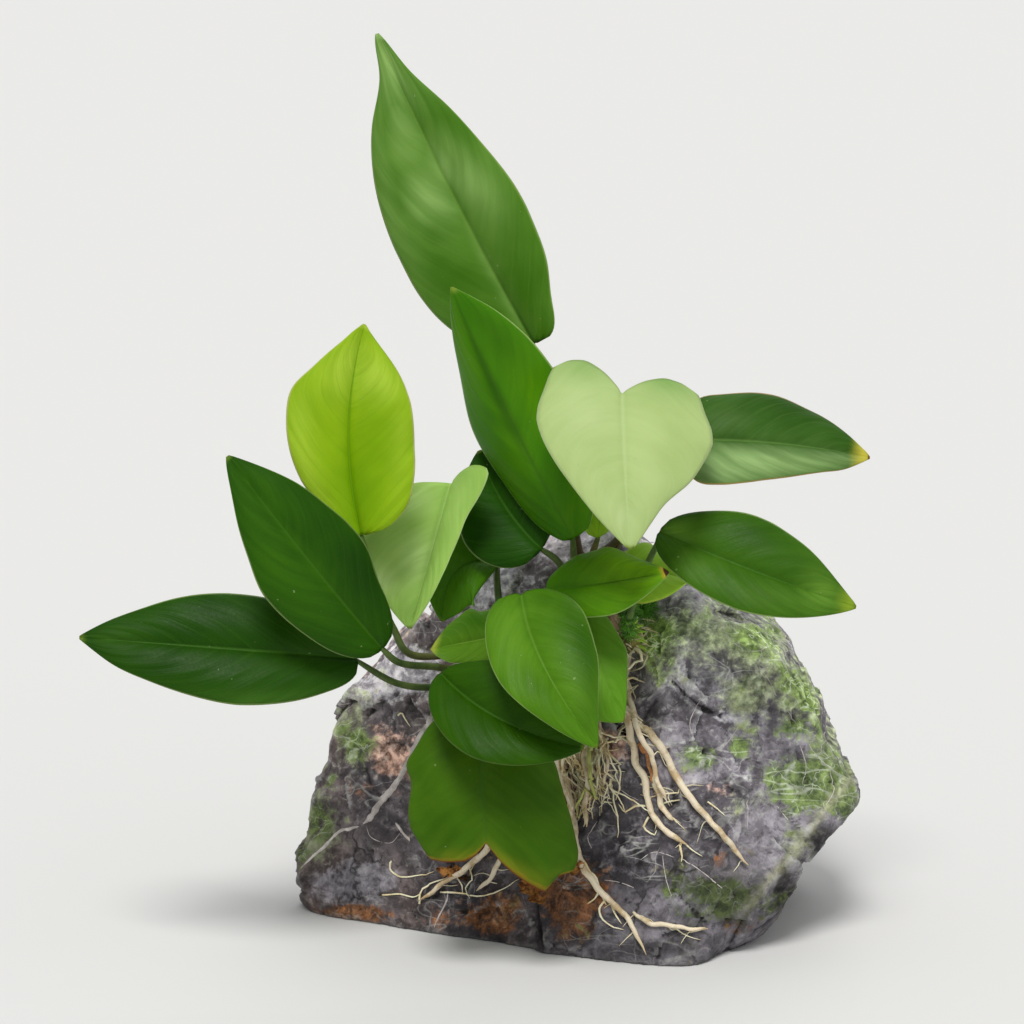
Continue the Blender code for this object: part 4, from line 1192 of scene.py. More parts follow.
def make_quartz(tree):
    """The veins, sunk a little into the stone, with rough sides and thin ends."""
    sweep = Sweep()
    for radius, pixels in QUARTZ:
        line = creeping_line(tree, pixels, -QUARTZ_SUNK * radius, QUARTZ_STEP)
        radii = []
        for index, point in enumerate(line):
            share = index / (len(line) - 1)
            rough = 1 + 0.45 * noise.noise(point / 1.1) + 0.3 * noise.noise(point / 0.4)
            radii.append(radius * rough * min(1, 0.25 + 5 * share, 0.2 + 5 * (1 - share)))
        sweep.tube(line, radii, 7)
    sweep.piece("quartz_veins", quartz_material(), "stone")


# Scraps of dead leaf on the stone below the torn leaf: half-width in mm, and pixel points.
SCRAPS = (
    (1.7, ((524, 884), (536, 892), (547, 900))), (1.2, ((568, 866), (576, 869), (586, 864))),
    (1.0, ((440, 868), (455, 873), (472, 873))),
)
SCRAP_CLEARANCE = 1.6
SCRAP_STEP = 0.3
SCRAP_THICKNESS = 0.08
SCRAP_COLUMNS = 8


def make_scraps(tree):
    """Curled scraps of dead leaf that lie on the stone."""
    material = scrap_material()
    across = np.linspace(-1, 1, SCRAP_COLUMNS + 1)
    outward = Vector((0, -1, 0.3)).normalized()
    thick = np.array(outward[:]) * SCRAP_THICKNESS
    for number, (half, pixels) in enumerate(SCRAPS, start=1):
        line = creeping_line(tree, pixels, SCRAP_CLEARANCE, SCRAP_STEP)
        beside = (line[-1] - line[0]).normalized().cross(outward).normalized()
        along, sides = sheet_places(len(line) - 1, across)
        grid = []
        for index, point in enumerate(line):
            width = half * math.sin(math.pi * (0.08 + 0.84 * index / (len(line) - 1)))
            for column in range(SCRAP_COLUMNS + 1):
                side = 2 * column / SCRAP_COLUMNS - 1
                ragged = 1 + 0.7 * noise.noise(point / 0.7 + Vector((0, 0, side * 0.6)))
                place = point + beside * width * side * ragged
                curl = 0.5 * side * side * half + 0.5 * noise.noise(place / 0.9)
                grid.append((place + outward * curl)[:])
        grid = np.array(grid).reshape((*along.shape, 3))
        name = f"scrap_{number}"
        mesh = closed_sheet(name, grid + thick, grid - thick, along, sides, [material] * 2)
        add_piece(name, mesh, "rhizome")


def scrap_material():
    shader = Shader("leaf_dead", 0.2)
    colour = shader.tint((0.110, 0.035, 0.010), (0.420, 0.190, 0.045), shader.noise(1.6, 3, 0.6), 0.36, 0.64)
    return shader.grainy(colour, shader.noise(0.3, 3), 0.5, 0.7, 0.1)


def quartz_material():
    shader = Shader("quartz", 0.3)
    colour = shader.tint((0.44, 0.39, 0.37), (0.76, 0.70, 0.66), shader.noise(2.2, 4, 0.6), 0.3, 0.7)
    return shader.grainy(colour, shader.noise(0.5, 4, 0.6), 0.45, 0.7, 0.15)


def stone_material():
    """Grey rock with patches of every kind, scratches, joints, edges pale by wear and painted highlight,
    painted shade and light.
    """
    shader = Shader("stone_rock", 0.22)
    tint = shader.tint
    large = shader.noise(28, 2, 0.5, 0.3)
    middle = shader.noise(7.5, 4, 0.55, 0.5)
    small = shader.noise(2.0, 5, 0.62, 0.3)
    speckle = shader.noise(0.5, 3, 0.7)
    crest = shader.attribute("crest")
    facets = shader.math("SUBTRACT", shader.parts(shader.cells(15, "F1"))["X"], 0.5)
    tone = shader.math("MULTIPLY_ADD", large, 0.4, shader.times(middle, 0.6))
    tone = shader.math("MULTIPLY_ADD", facets, 0.16, tone)
    ragged = shader.math("MULTIPLY_ADD", middle, 1.9, shader.times(small, 1.3))
    ragged = shader.math("SUBTRACT", ragged, 1.6)

    def patch(kind, low, high, most):
        """A kind of patch with ragged borders."""
        return shader.ramp(shader.math("ADD", shader.attribute(kind), ragged), low, high, 0.0, most)

    colour = tint((0.112, 0.100, 0.115), (0.350, 0.324, 0.366), tone, 0.40, 0.60)
    colour = tint(colour, (0.52, 0.51, 0.52), small, 0.52, 0.74, 0.0, 0.8)
    colour = tint(colour, (0.045, 0.042, 0.045), small, 0.30, 0.47, 0.75, 0.0)
    # Dark patches: partly darker stone, partly painted shade in recesses, under ledges and on facets turned
    # from the light.
    dark_stone_and_painted_shade = tint((0.027, 0.024, 0.028), (0.168, 0.154, 0.177), small, 0.40, 0.68)
    colour = shader.mix(patch("dark", 0.25, 0.90, 0.92), colour, dark_stone_and_painted_shade)
    sideways, _, upward = shader.parts(shader.place)
    warm = shader.times(shader.ramp(sideways, -16 * MM, 8 * MM, 1.0, 0.0),
                        shader.ramp(large, 0.35, 0.6, 0.2, 0.9))
    colour = shader.mix(warm, colour, (1.12, 0.93, 0.78), "MULTIPLY")
    # Pale patches: partly paler stone, partly painted light on ledges that face the light and on stone in the
    # leaves' shadow.
    pale_stone_and_painted_light = tint((0.300, 0.284, 0.330), (0.68, 0.645, 0.71), small, 0.3, 0.7)
    colour = shader.mix(patch("pale", 0.35, 0.75, 0.8), colour, pale_stone_and_painted_light)
    pink = tint((0.50, 0.190, 0.050), (0.90, 0.59, 0.50), upward, 20 * MM, 40 * MM)
    rust = tint((0.085, 0.040, 0.022), pink, small, 0.30, 0.70)
    rust = tint(rust, (0.66, 0.50, 0.41), speckle, 0.5, 0.75, 0.0, 0.4)
    colour = shader.mix(patch("brown", 0.28, 0.74, 0.9), colour, rust)
    wash = patch("wash", 0.25, 0.85, 0.8)
    haze = tint((0.160, 0.215, 0.080), (0.470, 0.520, 0.310), small, 0.34, 0.66)
    colour = shader.mix(wash, colour, haze)
    scratches = shader.math("MAXIMUM", shader.lines(9, 0.011, shader.stretched(5, 0.7)),
                            shader.lines(7, 0.011, shader.stretched(6, -0.9)))
    web = shader.times(shader.math("MAXIMUM", scratches, shader.lines(14, 0.007)),
                       shader.ramp(shader.noise(11, 3, 0.5), 0.46, 0.62))
    colour = shader.mix(shader.times(web, 0.5), colour, (0.60, 0.60, 0.57))
    green = tint((0.050, 0.092, 0.012), (0.195, 0.290, 0.064), small, 0.34, 0.62)
    green = tint(green, (0.38, 0.52, 0.20), speckle, 0.52, 0.78, 0.0, 0.5)
    threads = shader.times(shader.math("MAXIMUM", scratches, shader.lines(5, 0.013)), 0.65)
    green = shader.mix(threads, green, (0.60, 0.66, 0.50))
    colour = shader.mix(patch("algae", 0.34, 0.80, 0.85), colour, green)
    ridge = shader.times(shader.attribute("ridge"), shader.ramp(small, 0.3, 0.6, 0.5, 1.0))
    colour = shader.mix(shader.times(ridge, 0.8), colour, (0.44, 0.45, 0.28))
    # Pale crests and edges: partly wear, partly a painted highlight where the edges catch the light.
    edge = shader.times(shader.ramp(crest, 0.10, 0.50), shader.ramp(small, 0.32, 0.62, 0.35, 1.0))
    worn = tint((0.56, 0.56, 0.55), (0.50, 0.56, 0.36), wash, 0.2, 0.7)
    colour = shader.mix(shader.times(edge, 0.6), colour, worn)
    joints = shader.times(shader.ramp(shader.cells(15, "DISTANCE_TO_EDGE"), 0.0, 0.035, 0.8, 0.0),
                          shader.ramp(shader.noise(17, 2), 0.52, 0.62))
    colour = shader.mix(joints, colour, (0.020, 0.019, 0.018))
    # Painted shade in the creases and hollows, where the surface lies below its surroundings.
    colour = tint(colour, (0.012, 0.012, 0.010), crest, -0.65, -0.08, 0.9, 0.0)
    # Last come grit, painted shade that darkens the stone towards its foot and painted light that pales it
    # towards its top, and patches of painted shade and of painted light.
    grit = shader.ramp(shader.noise(3.2, 5, 0.72, 0.4), 0.36, 0.64, 0.66, 1.34)
    painted_foot_shade_and_top_light = shader.ramp(upward, -5 * MM, 85 * MM, 0.42, 1.62)
    for share, shade in ((1.0, grit), (1.0, painted_foot_shade_and_top_light), (patch("deep", 0.2, 0.9, 0.9), (0.46, 0.45, 0.42)),
                         (patch("bright", 0.2, 0.9, 1.0), (1.60, 1.60, 1.55))):
        colour = shader.mix(share, colour, shade, "MULTIPLY")
    height = shader.math("MULTIPLY_ADD", small, 1.0, shader.times(speckle, 0.3))
    return shader.grainy(colour, small, 0.50, 0.78, 0.35, height)


# ---------------------------------------------------------------- stalks, rhizome and roots

# Colours of a stalk: dark and light, and what it turns to near the rhizome.
GREEN_STALK = ((0.030, 0.062, 0.008), (0.085, 0.130, 0.028), (0.15, 0.11, 0.04))
BROWN_STALK = ((0.045, 0.040, 0.012), (0.115, 0.095, 0.034), (0.10, 0.07, 0.025))
GOLD_STALK = ((0.110, 0.095, 0.020), (0.250, 0.215, 0.060), (0.21, 0.12, 0.04))
MOSSY_STALK = ((0.060, 0.120, 0.020), (0.120, 0.210, 0.045), (0.010, 0.018, 0.005))
BRIGHT_STALK = ((0.090, 0.170, 0.030), (0.180, 0.290, 0.070), (0.045, 0.070, 0.014))
PINK_STALK = ((0.120, 0.095, 0.045), (0.270, 0.200, 0.120), (0.24, 0.13, 0.09))
STALK_LOOKS = {
    "heart": BROWN_STALK, "right_upper": BROWN_STALK, "top": BROWN_STALK, "olive": GOLD_STALK,
    "behind_right": GOLD_STALK, "right_lower": MOSSY_STALK, "lower_right": BRIGHT_STALK,
    "front": PINK_STALK, "centre_right": GOLD_STALK,
}
# Dried sheaths around the foot of a stalk: leaf, where along the stalk they start and end, and how far
# the free end stands off in mm.
SHEATHS = {
    "front": (0.10, 0.75, 1.6), "tall": (0.05, 0.55, 1.2), "centre_right": (0.08, 0.60, 1.3),
    "behind_right": (0.08, 0.70, 1.4), "heart": (0.02, 0.26, 1.2), "low_back": (0.05, 0.60, 1.3),
    "olive": (0.10, 0.75, 1.0), "pale": (0.02, 0.30, 1.1), "right_upper": (0.03, 0.28, 1.3),
    "yellow": (0.02, 0.30, 1.2), "lower_right": (0.10, 0.60, 1.2), "small_left": (0.05, 0.50, 1.2),
}


def stalk_material(name, dark, light, low_colour):
    shader = Shader(name, 0.25)
    _, along = shader.uv()
    patches = shader.noise(6, 3)
    grain = shader.noise(0.7, 3)
    colour = shader.tint(dark, light, patches, 0.35, 0.65)
    low = shader.ramp(shader.math("MULTIPLY_ADD", patches, 0.3, along), 0.35, 0.7, 1.0, 0.0)
    colour = shader.mix(shader.times(low, 0.85), colour, low_colour)
    colour = shader.tint(colour, (0.09, 0.17, 0.03), along, 0.9, 1.0, 0.0, 0.5)
    colour = shader.tint(colour, (0.20, 0.21, 0.10), grain, 0.5, 0.8, 0.0, 0.3)
    return shader.grainy(colour, grain, 0.38, 0.55, 0.08)


def sheath_material():
    shader = Shader("sheath_dried", 0.25)
    across, along = shader.uv()
    inputs = {"X": shader.times(across, 16.0), "Y": shader.times(along, 2.0)}
    place = shader.add("ShaderNodeCombineXYZ", inputs).outputs[0]
    stripes = shader.noise(1 / MM, 3, 0.5, 0.0, place)
    colour = shader.tint((0.150, 0.075, 0.030), (0.36, 0.25, 0.15), shader.noise(3, 3), 0.35, 0.65)
    colour = shader.tint(colour, (0.46, 0.36, 0.24), stripes, 0.45, 0.65, 0.0, 0.6)
    colour = shader.tint(colour, (0.10, 0.045, 0.02), along, 0.75, 1.0, 0.0, 0.7)
    return shader.grainy(colour, shader.noise(0.5, 3), 0.5, 0.7, 0.10, stripes)


def root_material(name, pale, dark, green):
    """The skin of a root: pale with dark patches and flecks partly painted highlight, green at the top by
    this share, brown at the end.
    """
    shader = Shader(name, 0.4, Subsurface_Weight=0.1, Subsurface_Scale=0.001)
    _, along = shader.uv()
    grain = shader.noise(0.6, 4, 0.6)
    colour = shader.tint(pale, dark, shader.noise(3.5, 4, 0.6), 0.46, 0.64, 0.0, 0.75)
    colour = shader.tint(colour, (0.30, 0.33, 0.10), along, 0.0, 0.5, green, 0.0)
    colour = shader.tint(colour, (0.42, 0.30, 0.12), along, 0.88, 1.0, 0.0, 0.6)
    # Pale flecks on the grain: partly the root's own colour, partly a painted highlight.
    colour = shader.tint(colour, (0.80, 0.76, 0.66), grain, 0.5, 0.8, 0.0, 0.4)
    return shader.grainy(colour, grain, 0.45, 0.68, 0.12)


def rhizome_material():
    shader = Shader("rhizome_skin", 0.35)
    _, along = shader.uv()
    grain = shader.noise(0.8, 4, 0.65)
    colour = shader.tint((0.075, 0.075, 0.015), (0.30, 0.255, 0.065), shader.noise(4, 4, 0.6), 0.38, 0.62)
    colour = shader.tint(colour, (0.88, 0.56, 0.12), along, 0.8, 0.97, 0.0, 0.85)
    colour = shader.tint(colour, (0.56, 0.44, 0.20), grain, 0.5, 0.75, 0.0, 0.4)
    return shader.grainy(colour, grain, 0.5, 0.75, 0.3)


def moss_material():
    shader = Shader("moss_fibre", 0.3)
    colour = shader.tint((0.040, 0.150, 0.012), (0.19, 0.48, 0.05), shader.noise(2.5, 3), 0.3, 0.7)
    return shader.finish(colour, 0.6)


# A stalk is wider at its foot and slimmer below the blade, as shares of its radius and of its length.
FOOT_FLARE = 0.5
FLARE_REACH = 0.22
SLIMMING = 0.32
SLIM_FROM = 0.8
STALK_FULLNESS = 0.92
STALK_TAPER = 0.1  # mm


def make_stalks(stems):
    """The stalks, and the dried sheaths that still stand around some of them."""
    skins = {}
    dried = sheath_material()
    for leaf in LEAVES:
        colours = STALK_LOOKS.get(leaf.name, GREEN_STALK)
        if colours not in skins:
            skins[colours] = stalk_material(f"stalk_skin_{len(skins)}", *colours)
        guide = stalk_route(leaf, stems[leaf.stem])
        route = smooth_route(guide, 14 * (len(guide) - 1))
        radii = []
        for index in range(len(route)):
            share = index / (len(route) - 1)
            flare = math.exp(-((share / FLARE_REACH) ** 2)) * FOOT_FLARE
            slim = SLIMMING * max(0, (share - SLIM_FROM) / (1 - SLIM_FROM)) ** 2
            radii.append(STALK_RADIUS * (STALK_FULLNESS + flare - slim) - STALK_TAPER * share)
        sweep = Sweep()
        sweep.tube(route, radii, 12)
        sweep.piece(f"petiole_{leaf.name}", skins[colours], "stalk", f"stalk_{leaf.name}")
        if leaf.name in SHEATHS:
            name = f"sheath_{leaf.name}"
            add_piece(name, make_sheath(name, route, radii, dried, *SHEATHS[leaf.name]), "stalk")


SHEATH_ROWS = 26
SHEATH_COLUMNS = 14
SHEATH_TURN = math.radians(105)

SHEATH_FACING = Vector((0.25, -1, 0.1))
SHEATH_CLEARANCE = 0.10
SHEATH_INSIDE = 0.06
SHEATH_OUTSIDE = 0.10


def make_sheath(name, route, radii, material, start, end, stand):
    """A thin scale wrapped around a stalk, with a pointed free end that stands off on the viewer's side."""
    inner, outer = [], []
    along, side = sheet_places(SHEATH_ROWS, np.linspace(-1, 1, SHEATH_COLUMNS + 1))
    widths = [Vector((radius, 0, 0)) for radius in radii]
    for row in range(SHEATH_ROWS + 1):
        share = row / SHEATH_ROWS
        place = start + (end - start) * share
        centre, run = point_along(route, place)
        run = run.normalized()
        ahead = (SHEATH_FACING - run * SHEATH_FACING.dot(run)).normalized()
        beside = run.cross(ahead)
        turn = SHEATH_TURN * (1 - 0.95 * share**1.6)
        reach = point_along(widths, place)[0].x + SHEATH_CLEARANCE + stand * share**2.2
        for column in range(SHEATH_COLUMNS + 1):
            angle = turn * (2 * column / SHEATH_COLUMNS - 1)
            direction = ahead * math.cos(angle) + beside * math.sin(angle)
            point = centre + direction * reach
            inner.append((point - direction * SHEATH_INSIDE)[:])
            outer.append((point + direction * SHEATH_OUTSIDE)[:])
    top, bottom = (np.array(points).reshape((*along.shape, 3)) for points in (outer, inner))
    return closed_sheet(name, top, bottom, along, side, [material] * 2)


SCAR_WIDTH = 0.12
SCAR_DEPTH = 0.13


def make_stem(name, guide, material, node):
    """The bark of a stem, with rings of scars and a rounded growing end."""
    route = smooth_route(guide, 5 * (len(guide) - 1))
    travelled = 0
    radii = []
    for index, point in enumerate(route):
        travelled += (point - route[index - 1]).length if index else 0
        ring = travelled / SCAR_SPACING
        scar = SCAR_DEPTH * math.exp(-(((ring - round(ring)) / SCAR_WIDTH) ** 2))
        swell = 0.06 * noise.noise(point / 3)
        to_end = (len(route) - 1 - index) / (len(route) - 1)
        radii.append(RHIZOME_RADIUS * (0.96 + swell - scar) * min(1, 0.3 + to_end / TIP_SHARE))
    sweep = Sweep()
    sweep.tube(route, radii, 24)
    sweep.piece(name, material, "rhizome", node)


ROOT_WANDER = 0.5
ROOT_WANDER_SIZE = 3.1


def make_roots(tree, material):
    """The thick roots; returns their routes."""
    guides = []
    for number, root in enumerate(ROOTS, start=1):
        flat = [(x, 0, z) for x, z in root.route]
        guide = settled_route(tree, flat, 2 * (len(flat) - 1), root.radius + GAP + root.lift)
        route = smooth_route(guide, 5 * (len(guide) - 1))
        radii = []
        for index, point in enumerate(route):
            share = index / (len(route) - 1)
            thick = (1 - ROOT_TAPER * share**2) * (1 - 0.5 * math.exp(-((share / 0.24) ** 2)))
            thick *= 1 + 0.2 * noise.noise(point / 1.5 + Vector((number, 0, 0)))
            place = point / ROOT_WANDER_SIZE
            wander = Vector((noise.noise(place), 0, noise.noise(place + Vector(CHIP_SHIFTS))))
            route[index] = point + wander * ROOT_WANDER
            radii.append(root.radius * thick * min(1, (1 - share) * 12 + 0.15))
        sweep = Sweep()
        sweep.tube(route, radii, 12)
        sweep.piece(f"root_skin_{number}", material, "root", f"root_{number}")
        guides.append(route)
    return guides


# Hair roots that creep over the stone, as seen: radius in mm, and the pixel points they run through.
HAIR_ROOTS = (
    (0.26, ((661, 804), (672, 801), (681, 800))),
    (0.24, ((646, 806), (636, 806), (626, 812), (622, 808), (619, 804))),
    (0.22, ((382, 895), (400, 894), (414, 897), (422, 893))),
    (0.24, ((420, 904), (421, 893), (430, 884), (444, 879), (458, 872))),
    (0.22, ((441, 892), (462, 893), (481, 896), (500, 891), (519, 879))),
    (0.22, ((392, 861), (391, 870), (402, 877), (420, 875), (434, 872))),
    (0.20, ((470, 868), (472, 880), (466, 888), (470, 898))), (0.20, ((455, 874), (462, 884), (463, 893))),
    (0.34, ((579, 855), (585, 863), (590, 872), (598, 880), (600, 890), (594, 900), (588, 904))),
    (0.34, ((583, 872), (594, 884), (603, 897), (607, 905))), (0.26, ((612, 905), (616, 915), (622, 924))),
    (0.26, ((605, 900), (600, 908), (602, 918), (612, 926), (624, 930))),
    (0.22, ((641, 784), (648, 787), (657, 786))), (0.24, ((655, 793), (664, 797), (670, 806))),
    (0.24, ((649, 817), (644, 828), (655, 834), (657, 830))), (0.22, ((680, 845), (682, 856), (681, 862))),
    (0.20, ((708, 802), (718, 810), (725, 816))), (0.22, ((616, 742), (622, 738), (628, 742), (635, 750))),
    (0.22, ((607, 745), (608, 758), (606, 772), (604, 785))), (0.22, ((587, 800), (582, 808), (579, 818))),
    (0.24, ((638, 653), (648, 655), (646, 661), (642, 668), (630, 672))),
    (0.22, ((632, 678), (640, 681), (646, 683))), (0.22, ((628, 676), (632, 688), (636, 700))),
    (0.22, ((627, 690), (628, 705), (627, 722))), (0.26, ((631, 640), (640, 648), (643, 657), (636, 666))),
    (0.20, ((641, 640), (648, 632), (644, 629))), (0.20, ((643, 645), (649, 643))),
    (0.22, ((398, 716), (402, 713), (406, 720), (411, 727))),
)
# Fine roots that stand clear of the stone: radius, how far they stand off in mm, and pixel points.
LOOPS = (
    (0.36, 3.6, ((640, 604), (649, 601), (656, 607), (658, 616), (654, 622))),
    (0.34, 3.4, ((632, 652), (637, 656), (639, 662), (636, 667), (628, 669))),
    (0.34, 3.6, ((641, 651), (646, 657), (647, 664), (643, 670), (634, 672), (628, 673))),
    (0.32, 3.0, ((628, 672), (631, 681), (635, 690), (638, 699))),
    (0.28, 3.0, ((632, 683), (639, 683), (647, 684))), (0.34, 2.6, ((626, 684), (628, 700), (627, 720))),
    (0.30, 2.6, ((627, 722), (634, 719), (642, 724), (650, 732))),
    (0.24, 2.6, ((634, 634), (641, 635), (646, 640))), (0.22, 2.8, ((636, 640), (642, 643), (647, 648))),
    (0.30, 2.8, ((620, 716), (628, 721), (636, 722), (643, 727))),
    (0.26, 2.6, ((606, 728), (613, 735), (622, 738), (631, 736))),
    (0.22, 2.6, ((614, 742), (621, 741), (627, 735), (633, 738))),
    (0.24, 2.8, ((602, 724), (608, 733), (611, 744), (610, 756))),
)
# Roots of other colours: radius, how far off the stone, pixel points, two colours and how green the top is.
ODD_ROOTS = {
    "root_green": (0.50, 4.0, ((603, 740), (601, 760), (598, 778), (595, 796), (593, 812)),
                   (0.46, 0.50, 0.14), (0.28, 0.30, 0.06), 0.3),
    "root_brown": (0.50, 1.5, ((645, 742), (649, 756), (652, 770), (654, 783)),
                   (0.40, 0.16, 0.04), (0.17, 0.06, 0.02), 0.0),
}
# The tangle between the two blocks: left and right end, top, and how far down it hangs, in pixels.
TANGLE = (545, 612, 748, 78)
TANGLE_COUNT = 60
ROOTLET_COUNT = 7
FIBRE_COUNT = 70


def add_hair(sweep, line, radius, sides=6):
    """A thin root along this line."""
    last = len(line) - 1
    radii = [radius * (1 + 0.25 * noise.noise(point / 0.9)) * (1 - 0.65 * (index / last) ** 2)
             for index, point in enumerate(line)]
    sweep.tube(line, radii, sides)


def add_tangle(sweep, tree, draw):
    """Roots that wander down between the two blocks."""
    left, right, top, drop = TANGLE
    for _ in range(TANGLE_COUNT):
        u, v = draw.uniform(left, right), top + draw.uniform(-14, 12)
        pixels = [(u, v)]
        heading = draw.normal(0, 0.35)
        for _ in range(int(draw.integers(3, 6))):
            heading += draw.normal(0, 0.35) - 0.25 * heading
            u += heading * drop / 5
            v += drop / 5
            pixels.append((u, v))
        radius = draw.uniform(0.13, 0.30)
        lift = radius + draw.uniform(0.05, 2.4)
        add_hair(sweep, creeping_line(tree, pixels, lift), radius)


def add_rootlets(sweep, tree, draw, guide):
    """Short side roots that leave a thick root and creep over the stone."""
    for _ in range(ROOTLET_COUNT):
        start = guide[int(draw.integers(2, len(guide)))]
        sideways = draw.choice((-1, 1)) * draw.uniform(0.5, 1)
        heading = Vector((sideways, 0, draw.uniform(-1.2, 0.3))).normalized()
        length = draw.uniform(1.5, 5.0)
        bend = Vector((draw.normal(0, 0.3), 0, draw.normal(0, 0.3)))
        line = [start]
        for share in (0.25, 0.5, 0.75, 1.0):
            place = start + (heading * share + bend * share**2) * length
            nearest, normal, _, _ = tree.find_nearest(place * MM)
            line.append(line[-1].lerp(nearest / MM + normal * 0.2, 0.85))
        add_hair(sweep, smooth_route(line, 10), draw.uniform(0.10, 0.19), 5)


def make_hair_roots(tree, material, guides):
    """Fine roots: the ones that show, a tangle between the blocks, and short rootlets on every thick root."""
    sweep = Sweep()
    draw = np.random.default_rng(11)
    for radius, pixels in HAIR_ROOTS:
        add_hair(sweep, creeping_line(tree, pixels, radius + 0.05), radius)
    for radius, lift, pixels in LOOPS:
        add_hair(sweep, creeping_line(tree, pixels, lift), radius, 8)
    for name, (radius, lift, pixels, *colours) in ODD_ROOTS.items():
        odd = Sweep()
        add_hair(odd, creeping_line(tree, pixels, lift), radius, 10)
        odd.piece(name, root_material(name, *colours), "root")
    add_tangle(sweep, tree, draw)
    for guide in guides:
        add_rootlets(sweep, tree, draw, guide)
    sweep.piece("hair_roots", material, "root")


def make_rhizome_fibres(stem, material):
    """Short curled fibres around the growing end of the rhizome."""
    sweep = Sweep()
    draw = np.random.default_rng(5)
    for _ in range(FIBRE_COUNT):
        centre, run = point_along(stem, draw.uniform(0.62, 0.99))
        away = Vector(draw.normal(size=3))
        away = (away - run * (away.dot(run) / run.dot(run))).normalized()
        away.y = -abs(away.y)
        length = draw.uniform(1.0, 3.4)
        curl = Vector(draw.normal(size=3)) * 0.9
        start = centre + away * RHIZOME_RADIUS * 0.7
        line = [start + away * length * share + curl * share**2 for share in (0, 0.35, 0.7, 1)]
        add_hair(sweep, smooth_route(line, 9), draw.uniform(0.13, 0.26), 5)
    sweep.piece("rhizome_fibres", material, "root")


# Tufts of moss around the growing end, by X and Z: how far they stand off the stone, radius, count.
MOSS_TUFTS = ((14.5, 72.5, 6.0, 2.6, 260), (17.5, 72.0, 4.5, 2.8, 300), (20.0, 71.0, 3.0, 2.3, 200))
# Bright young points at the end of the rhizome: where they start and end.
YOUNG = (
    ((15.4, -8, 70.0), (18.0, -10.5, 71.4)), ((15.5, -6, 68.8), (18.8, -8, 69.2)),
    ((14.9, -12, 71.6), (16.6, -14.5, 73.6)), ((15.6, -5, 67.6), (18.4, -7, 67.2)),
    ((16.4, -4, 66.6), (19.0, -6, 66.2)), ((16.6, -3, 65.0), (19.0, -5, 64.2)),
)
# Moss on the lowest part of the stalk that rises from the growing end: share along it, radius, count.
MOSSY_LEAF = "right_lower"
STALK_MOSS = ((0.10, 1.7, 110), (0.20, 2.0, 140), (0.30, 2.2, 160), (0.40, 2.1, 160), (0.48, 1.7, 120))


MOSS_COUNT = 420
MOSS_FIBRE = (0.11, 0.12, 0.09, 0.02)
YOUNG_BEND = Vector((0.2, -0.3, 0.2))
YOUNG_RADII = (0.40, 0.46, 0.42, 0.34, 0.25, 0.15, 0.03)
YOUNG_COLOURS = ((0.30, 0.55, 0.04), (0.50, 0.75, 0.10), (0.55, 0.62, 0.16))


def add_tuft(sweep, draw, centre, radius, count):
    """Fibres of moss that stand out from a place to all sides."""
    for _ in range(count):
        heading = Vector(draw.normal(size=3)).normalized()
        bend = Vector(draw.normal(size=3)) * 0.5
        length = radius * (0.75 + 0.6 * draw.random())
        route = [centre + heading * length * share + bend * share**2 for share in (0.1, 0.4, 0.7, 1.0)]
        sweep.tube(route, MOSS_FIBRE, 3)


def make_moss(tree, stems, material):
    """The tuft that the CAD has, more moss around the growing end and on one stalk, and the young points."""
    draw = np.random.default_rng(7)
    sweep = Sweep()
    centre = on_stone(tree, *MOSS_PLACE, MOSS_RADIUS * (1 + MOSS_ROUGHNESS) + GAP)
    add_tuft(sweep, draw, centre, MOSS_RADIUS, MOSS_COUNT)
    sweep.piece("moss_fibres", material, "moss", "moss_tuft")
    sweep = Sweep()
    for x, z, lift, radius, count in MOSS_TUFTS:
        add_tuft(sweep, draw, on_stone(tree, x, z, lift), radius, count)
    leaf = next(leaf for leaf in LEAVES if leaf.name == MOSSY_LEAF)
    route = smooth_route(stalk_route(leaf, stems[leaf.stem]), 60)
    for share, radius, count in STALK_MOSS:
        add_tuft(sweep, draw, point_along(route, share)[0], radius, count)
    sweep.piece("moss_at_tip", material, "moss")
    sweep = Sweep()
    for start, end in YOUNG:
        start, end = Vector(start), Vector(end)
        middle = start.lerp(end, 0.5) + YOUNG_BEND
        sweep.tube(smooth_route([start, middle, end], len(YOUNG_RADII) - 1), YOUNG_RADII, 8)
    sweep.piece("young_points", stalk_material("young_skin", *YOUNG_COLOURS), "moss")


# ---------------------------------------------------------------- camera, light and floor


def link(name, data):
    made = bpy.data.objects.new(name, data)
    bpy.context.scene.collection.objects.link(made)
    return made


def make_camera():
    data = bpy.data.cameras.new("camera")
    data.sensor_width = SENSOR
    data.lens = LENS
    data.clip_start = 0.01
    data.clip_end = 100
    camera = link("camera", data)
    back = Vector((0, -VIEW_COSINE, VIEW_SINE)) * CAMERA_DISTANCE
    camera.location = (TARGET + back) * MM
    camera.rotation_euler = (-back).to_track_quat("-Z", "Y").to_euler()
    bpy.context.scene.camera = camera


def add_sun(name, azimuth, elevation, softness, strength, tint=(1, 1, 1)):
    """A wide soft light from this direction; azimuth 0 is the viewer's side and 90 the right."""
    data = bpy.data.lights.new(name, "SUN")
    data.angle = math.radians(softness)
    data.energy = strength
    data.color = tint
    turn, lift = math.radians(azimuth), math.radians(elevation)
    back = Vector((math.sin(turn) * math.cos(lift), -math.cos(turn) * math.cos(lift), math.sin(lift)))
    link(name, data).rotation_euler = (-back).to_track_quat("-Z", "Y").to_euler()


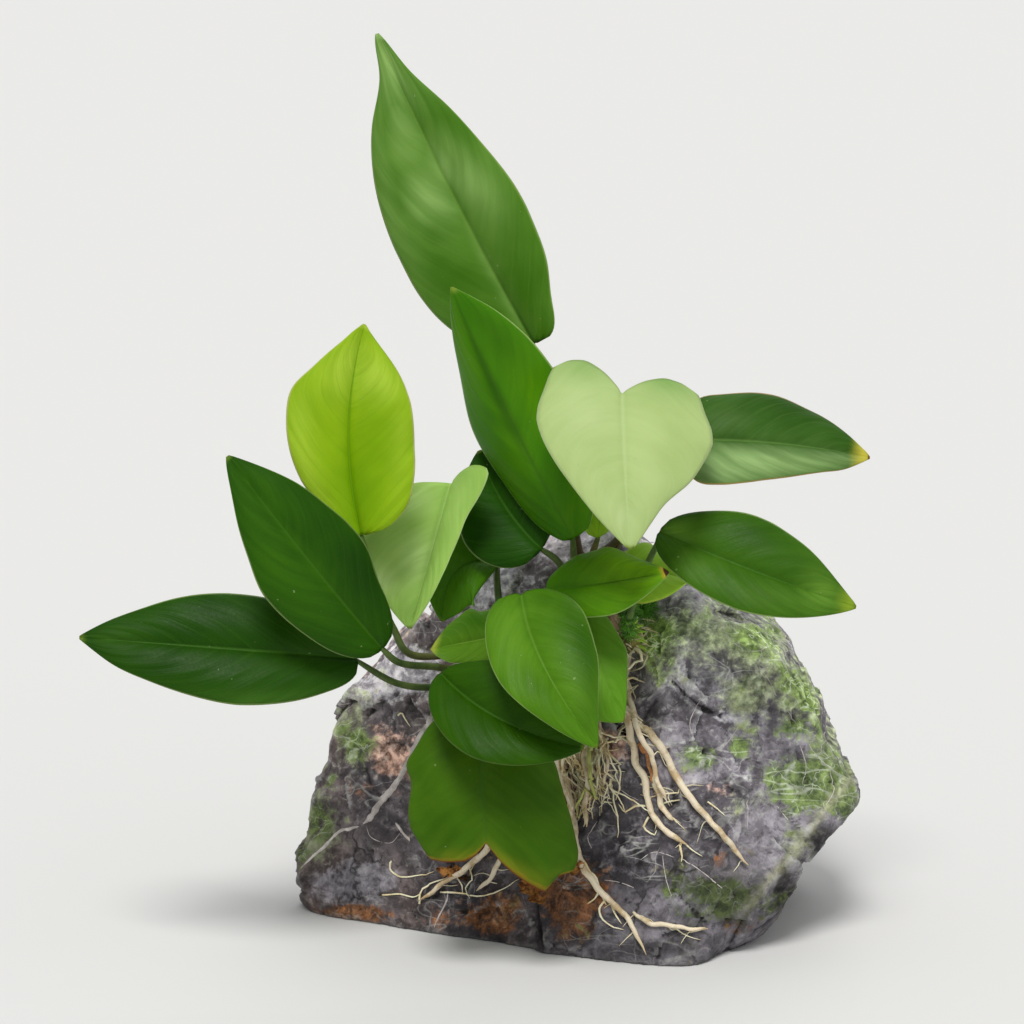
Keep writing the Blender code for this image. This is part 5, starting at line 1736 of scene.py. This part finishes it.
def make_stage():
    """A plain pale floor under a plain sky, and three soft lights."""
    bpy.context.scene.view_settings.view_transform = "Standard"
    bpy.ops.mesh.primitive_plane_add(size=FLOOR_SIZE, location=(0, 0, FLOOR_Z))
    floor = bpy.context.object
    floor.name = "floor"
    floor.data.materials.append(Shader("floor_paper", 0.0, Roughness=0.9).finish(FLOOR_COLOUR))
    world = bpy.data.worlds.new("world")
    world.use_nodes = True
    background = world.node_tree.nodes["Background"]
    background.inputs["Color"].default_value = (*WORLD_COLOUR, 1.0)
    background.inputs["Strength"].default_value = WORLD_STRENGTH
    bpy.context.scene.world = world
    for light in LIGHTS:
        add_sun(*light)


# ---------------------------------------------------------------- the whole

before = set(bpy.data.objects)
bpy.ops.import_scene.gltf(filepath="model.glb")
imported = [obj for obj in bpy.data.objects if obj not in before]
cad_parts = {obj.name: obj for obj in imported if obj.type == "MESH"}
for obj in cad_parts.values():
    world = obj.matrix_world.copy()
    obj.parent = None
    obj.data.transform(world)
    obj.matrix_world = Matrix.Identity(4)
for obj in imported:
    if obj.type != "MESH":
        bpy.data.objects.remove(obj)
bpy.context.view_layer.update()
make_camera()
make_stage()
tree = surface_tree(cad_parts["stone"].data)
stems = {
    name: settled_route(tree, [(x, 0, z) for x, z in flat], count, RHIZOME_RADIUS + GAP)
    for name, flat, count in (("rhizome", RHIZOME_ROUTE, RHIZOME_COUNT), ("shoot", SHOOT_ROUTE, SHOOT_COUNT))
}
fine_tree = surface_tree(make_stone())
make_quartz(fine_tree)
make_scraps(fine_tree)
for number, leaf in enumerate(LEAVES):
    blade = make_blade(number, leaf, LOOKS[leaf.name])
    add_piece(f"blade_{leaf.name}", blade, leaf.colour, f"leaf_{leaf.name}")
make_stalks(stems)
bark = rhizome_material()
make_stem("rhizome_skin", stems["rhizome"], bark, "rhizome")
make_stem("shoot_skin", stems["shoot"], bark, "rhizome_shoot")
cream = root_material("root_cream", (0.78, 0.68, 0.50), (0.43, 0.29, 0.12), 0.1)
white = root_material("root_fine", (0.95, 0.87, 0.62), (0.76, 0.58, 0.27), 0.0)
guides = make_roots(tree, cream)
make_hair_roots(fine_tree, white, guides)
make_rhizome_fibres(stems["rhizome"], white)
make_moss(tree, stems, moss_material())
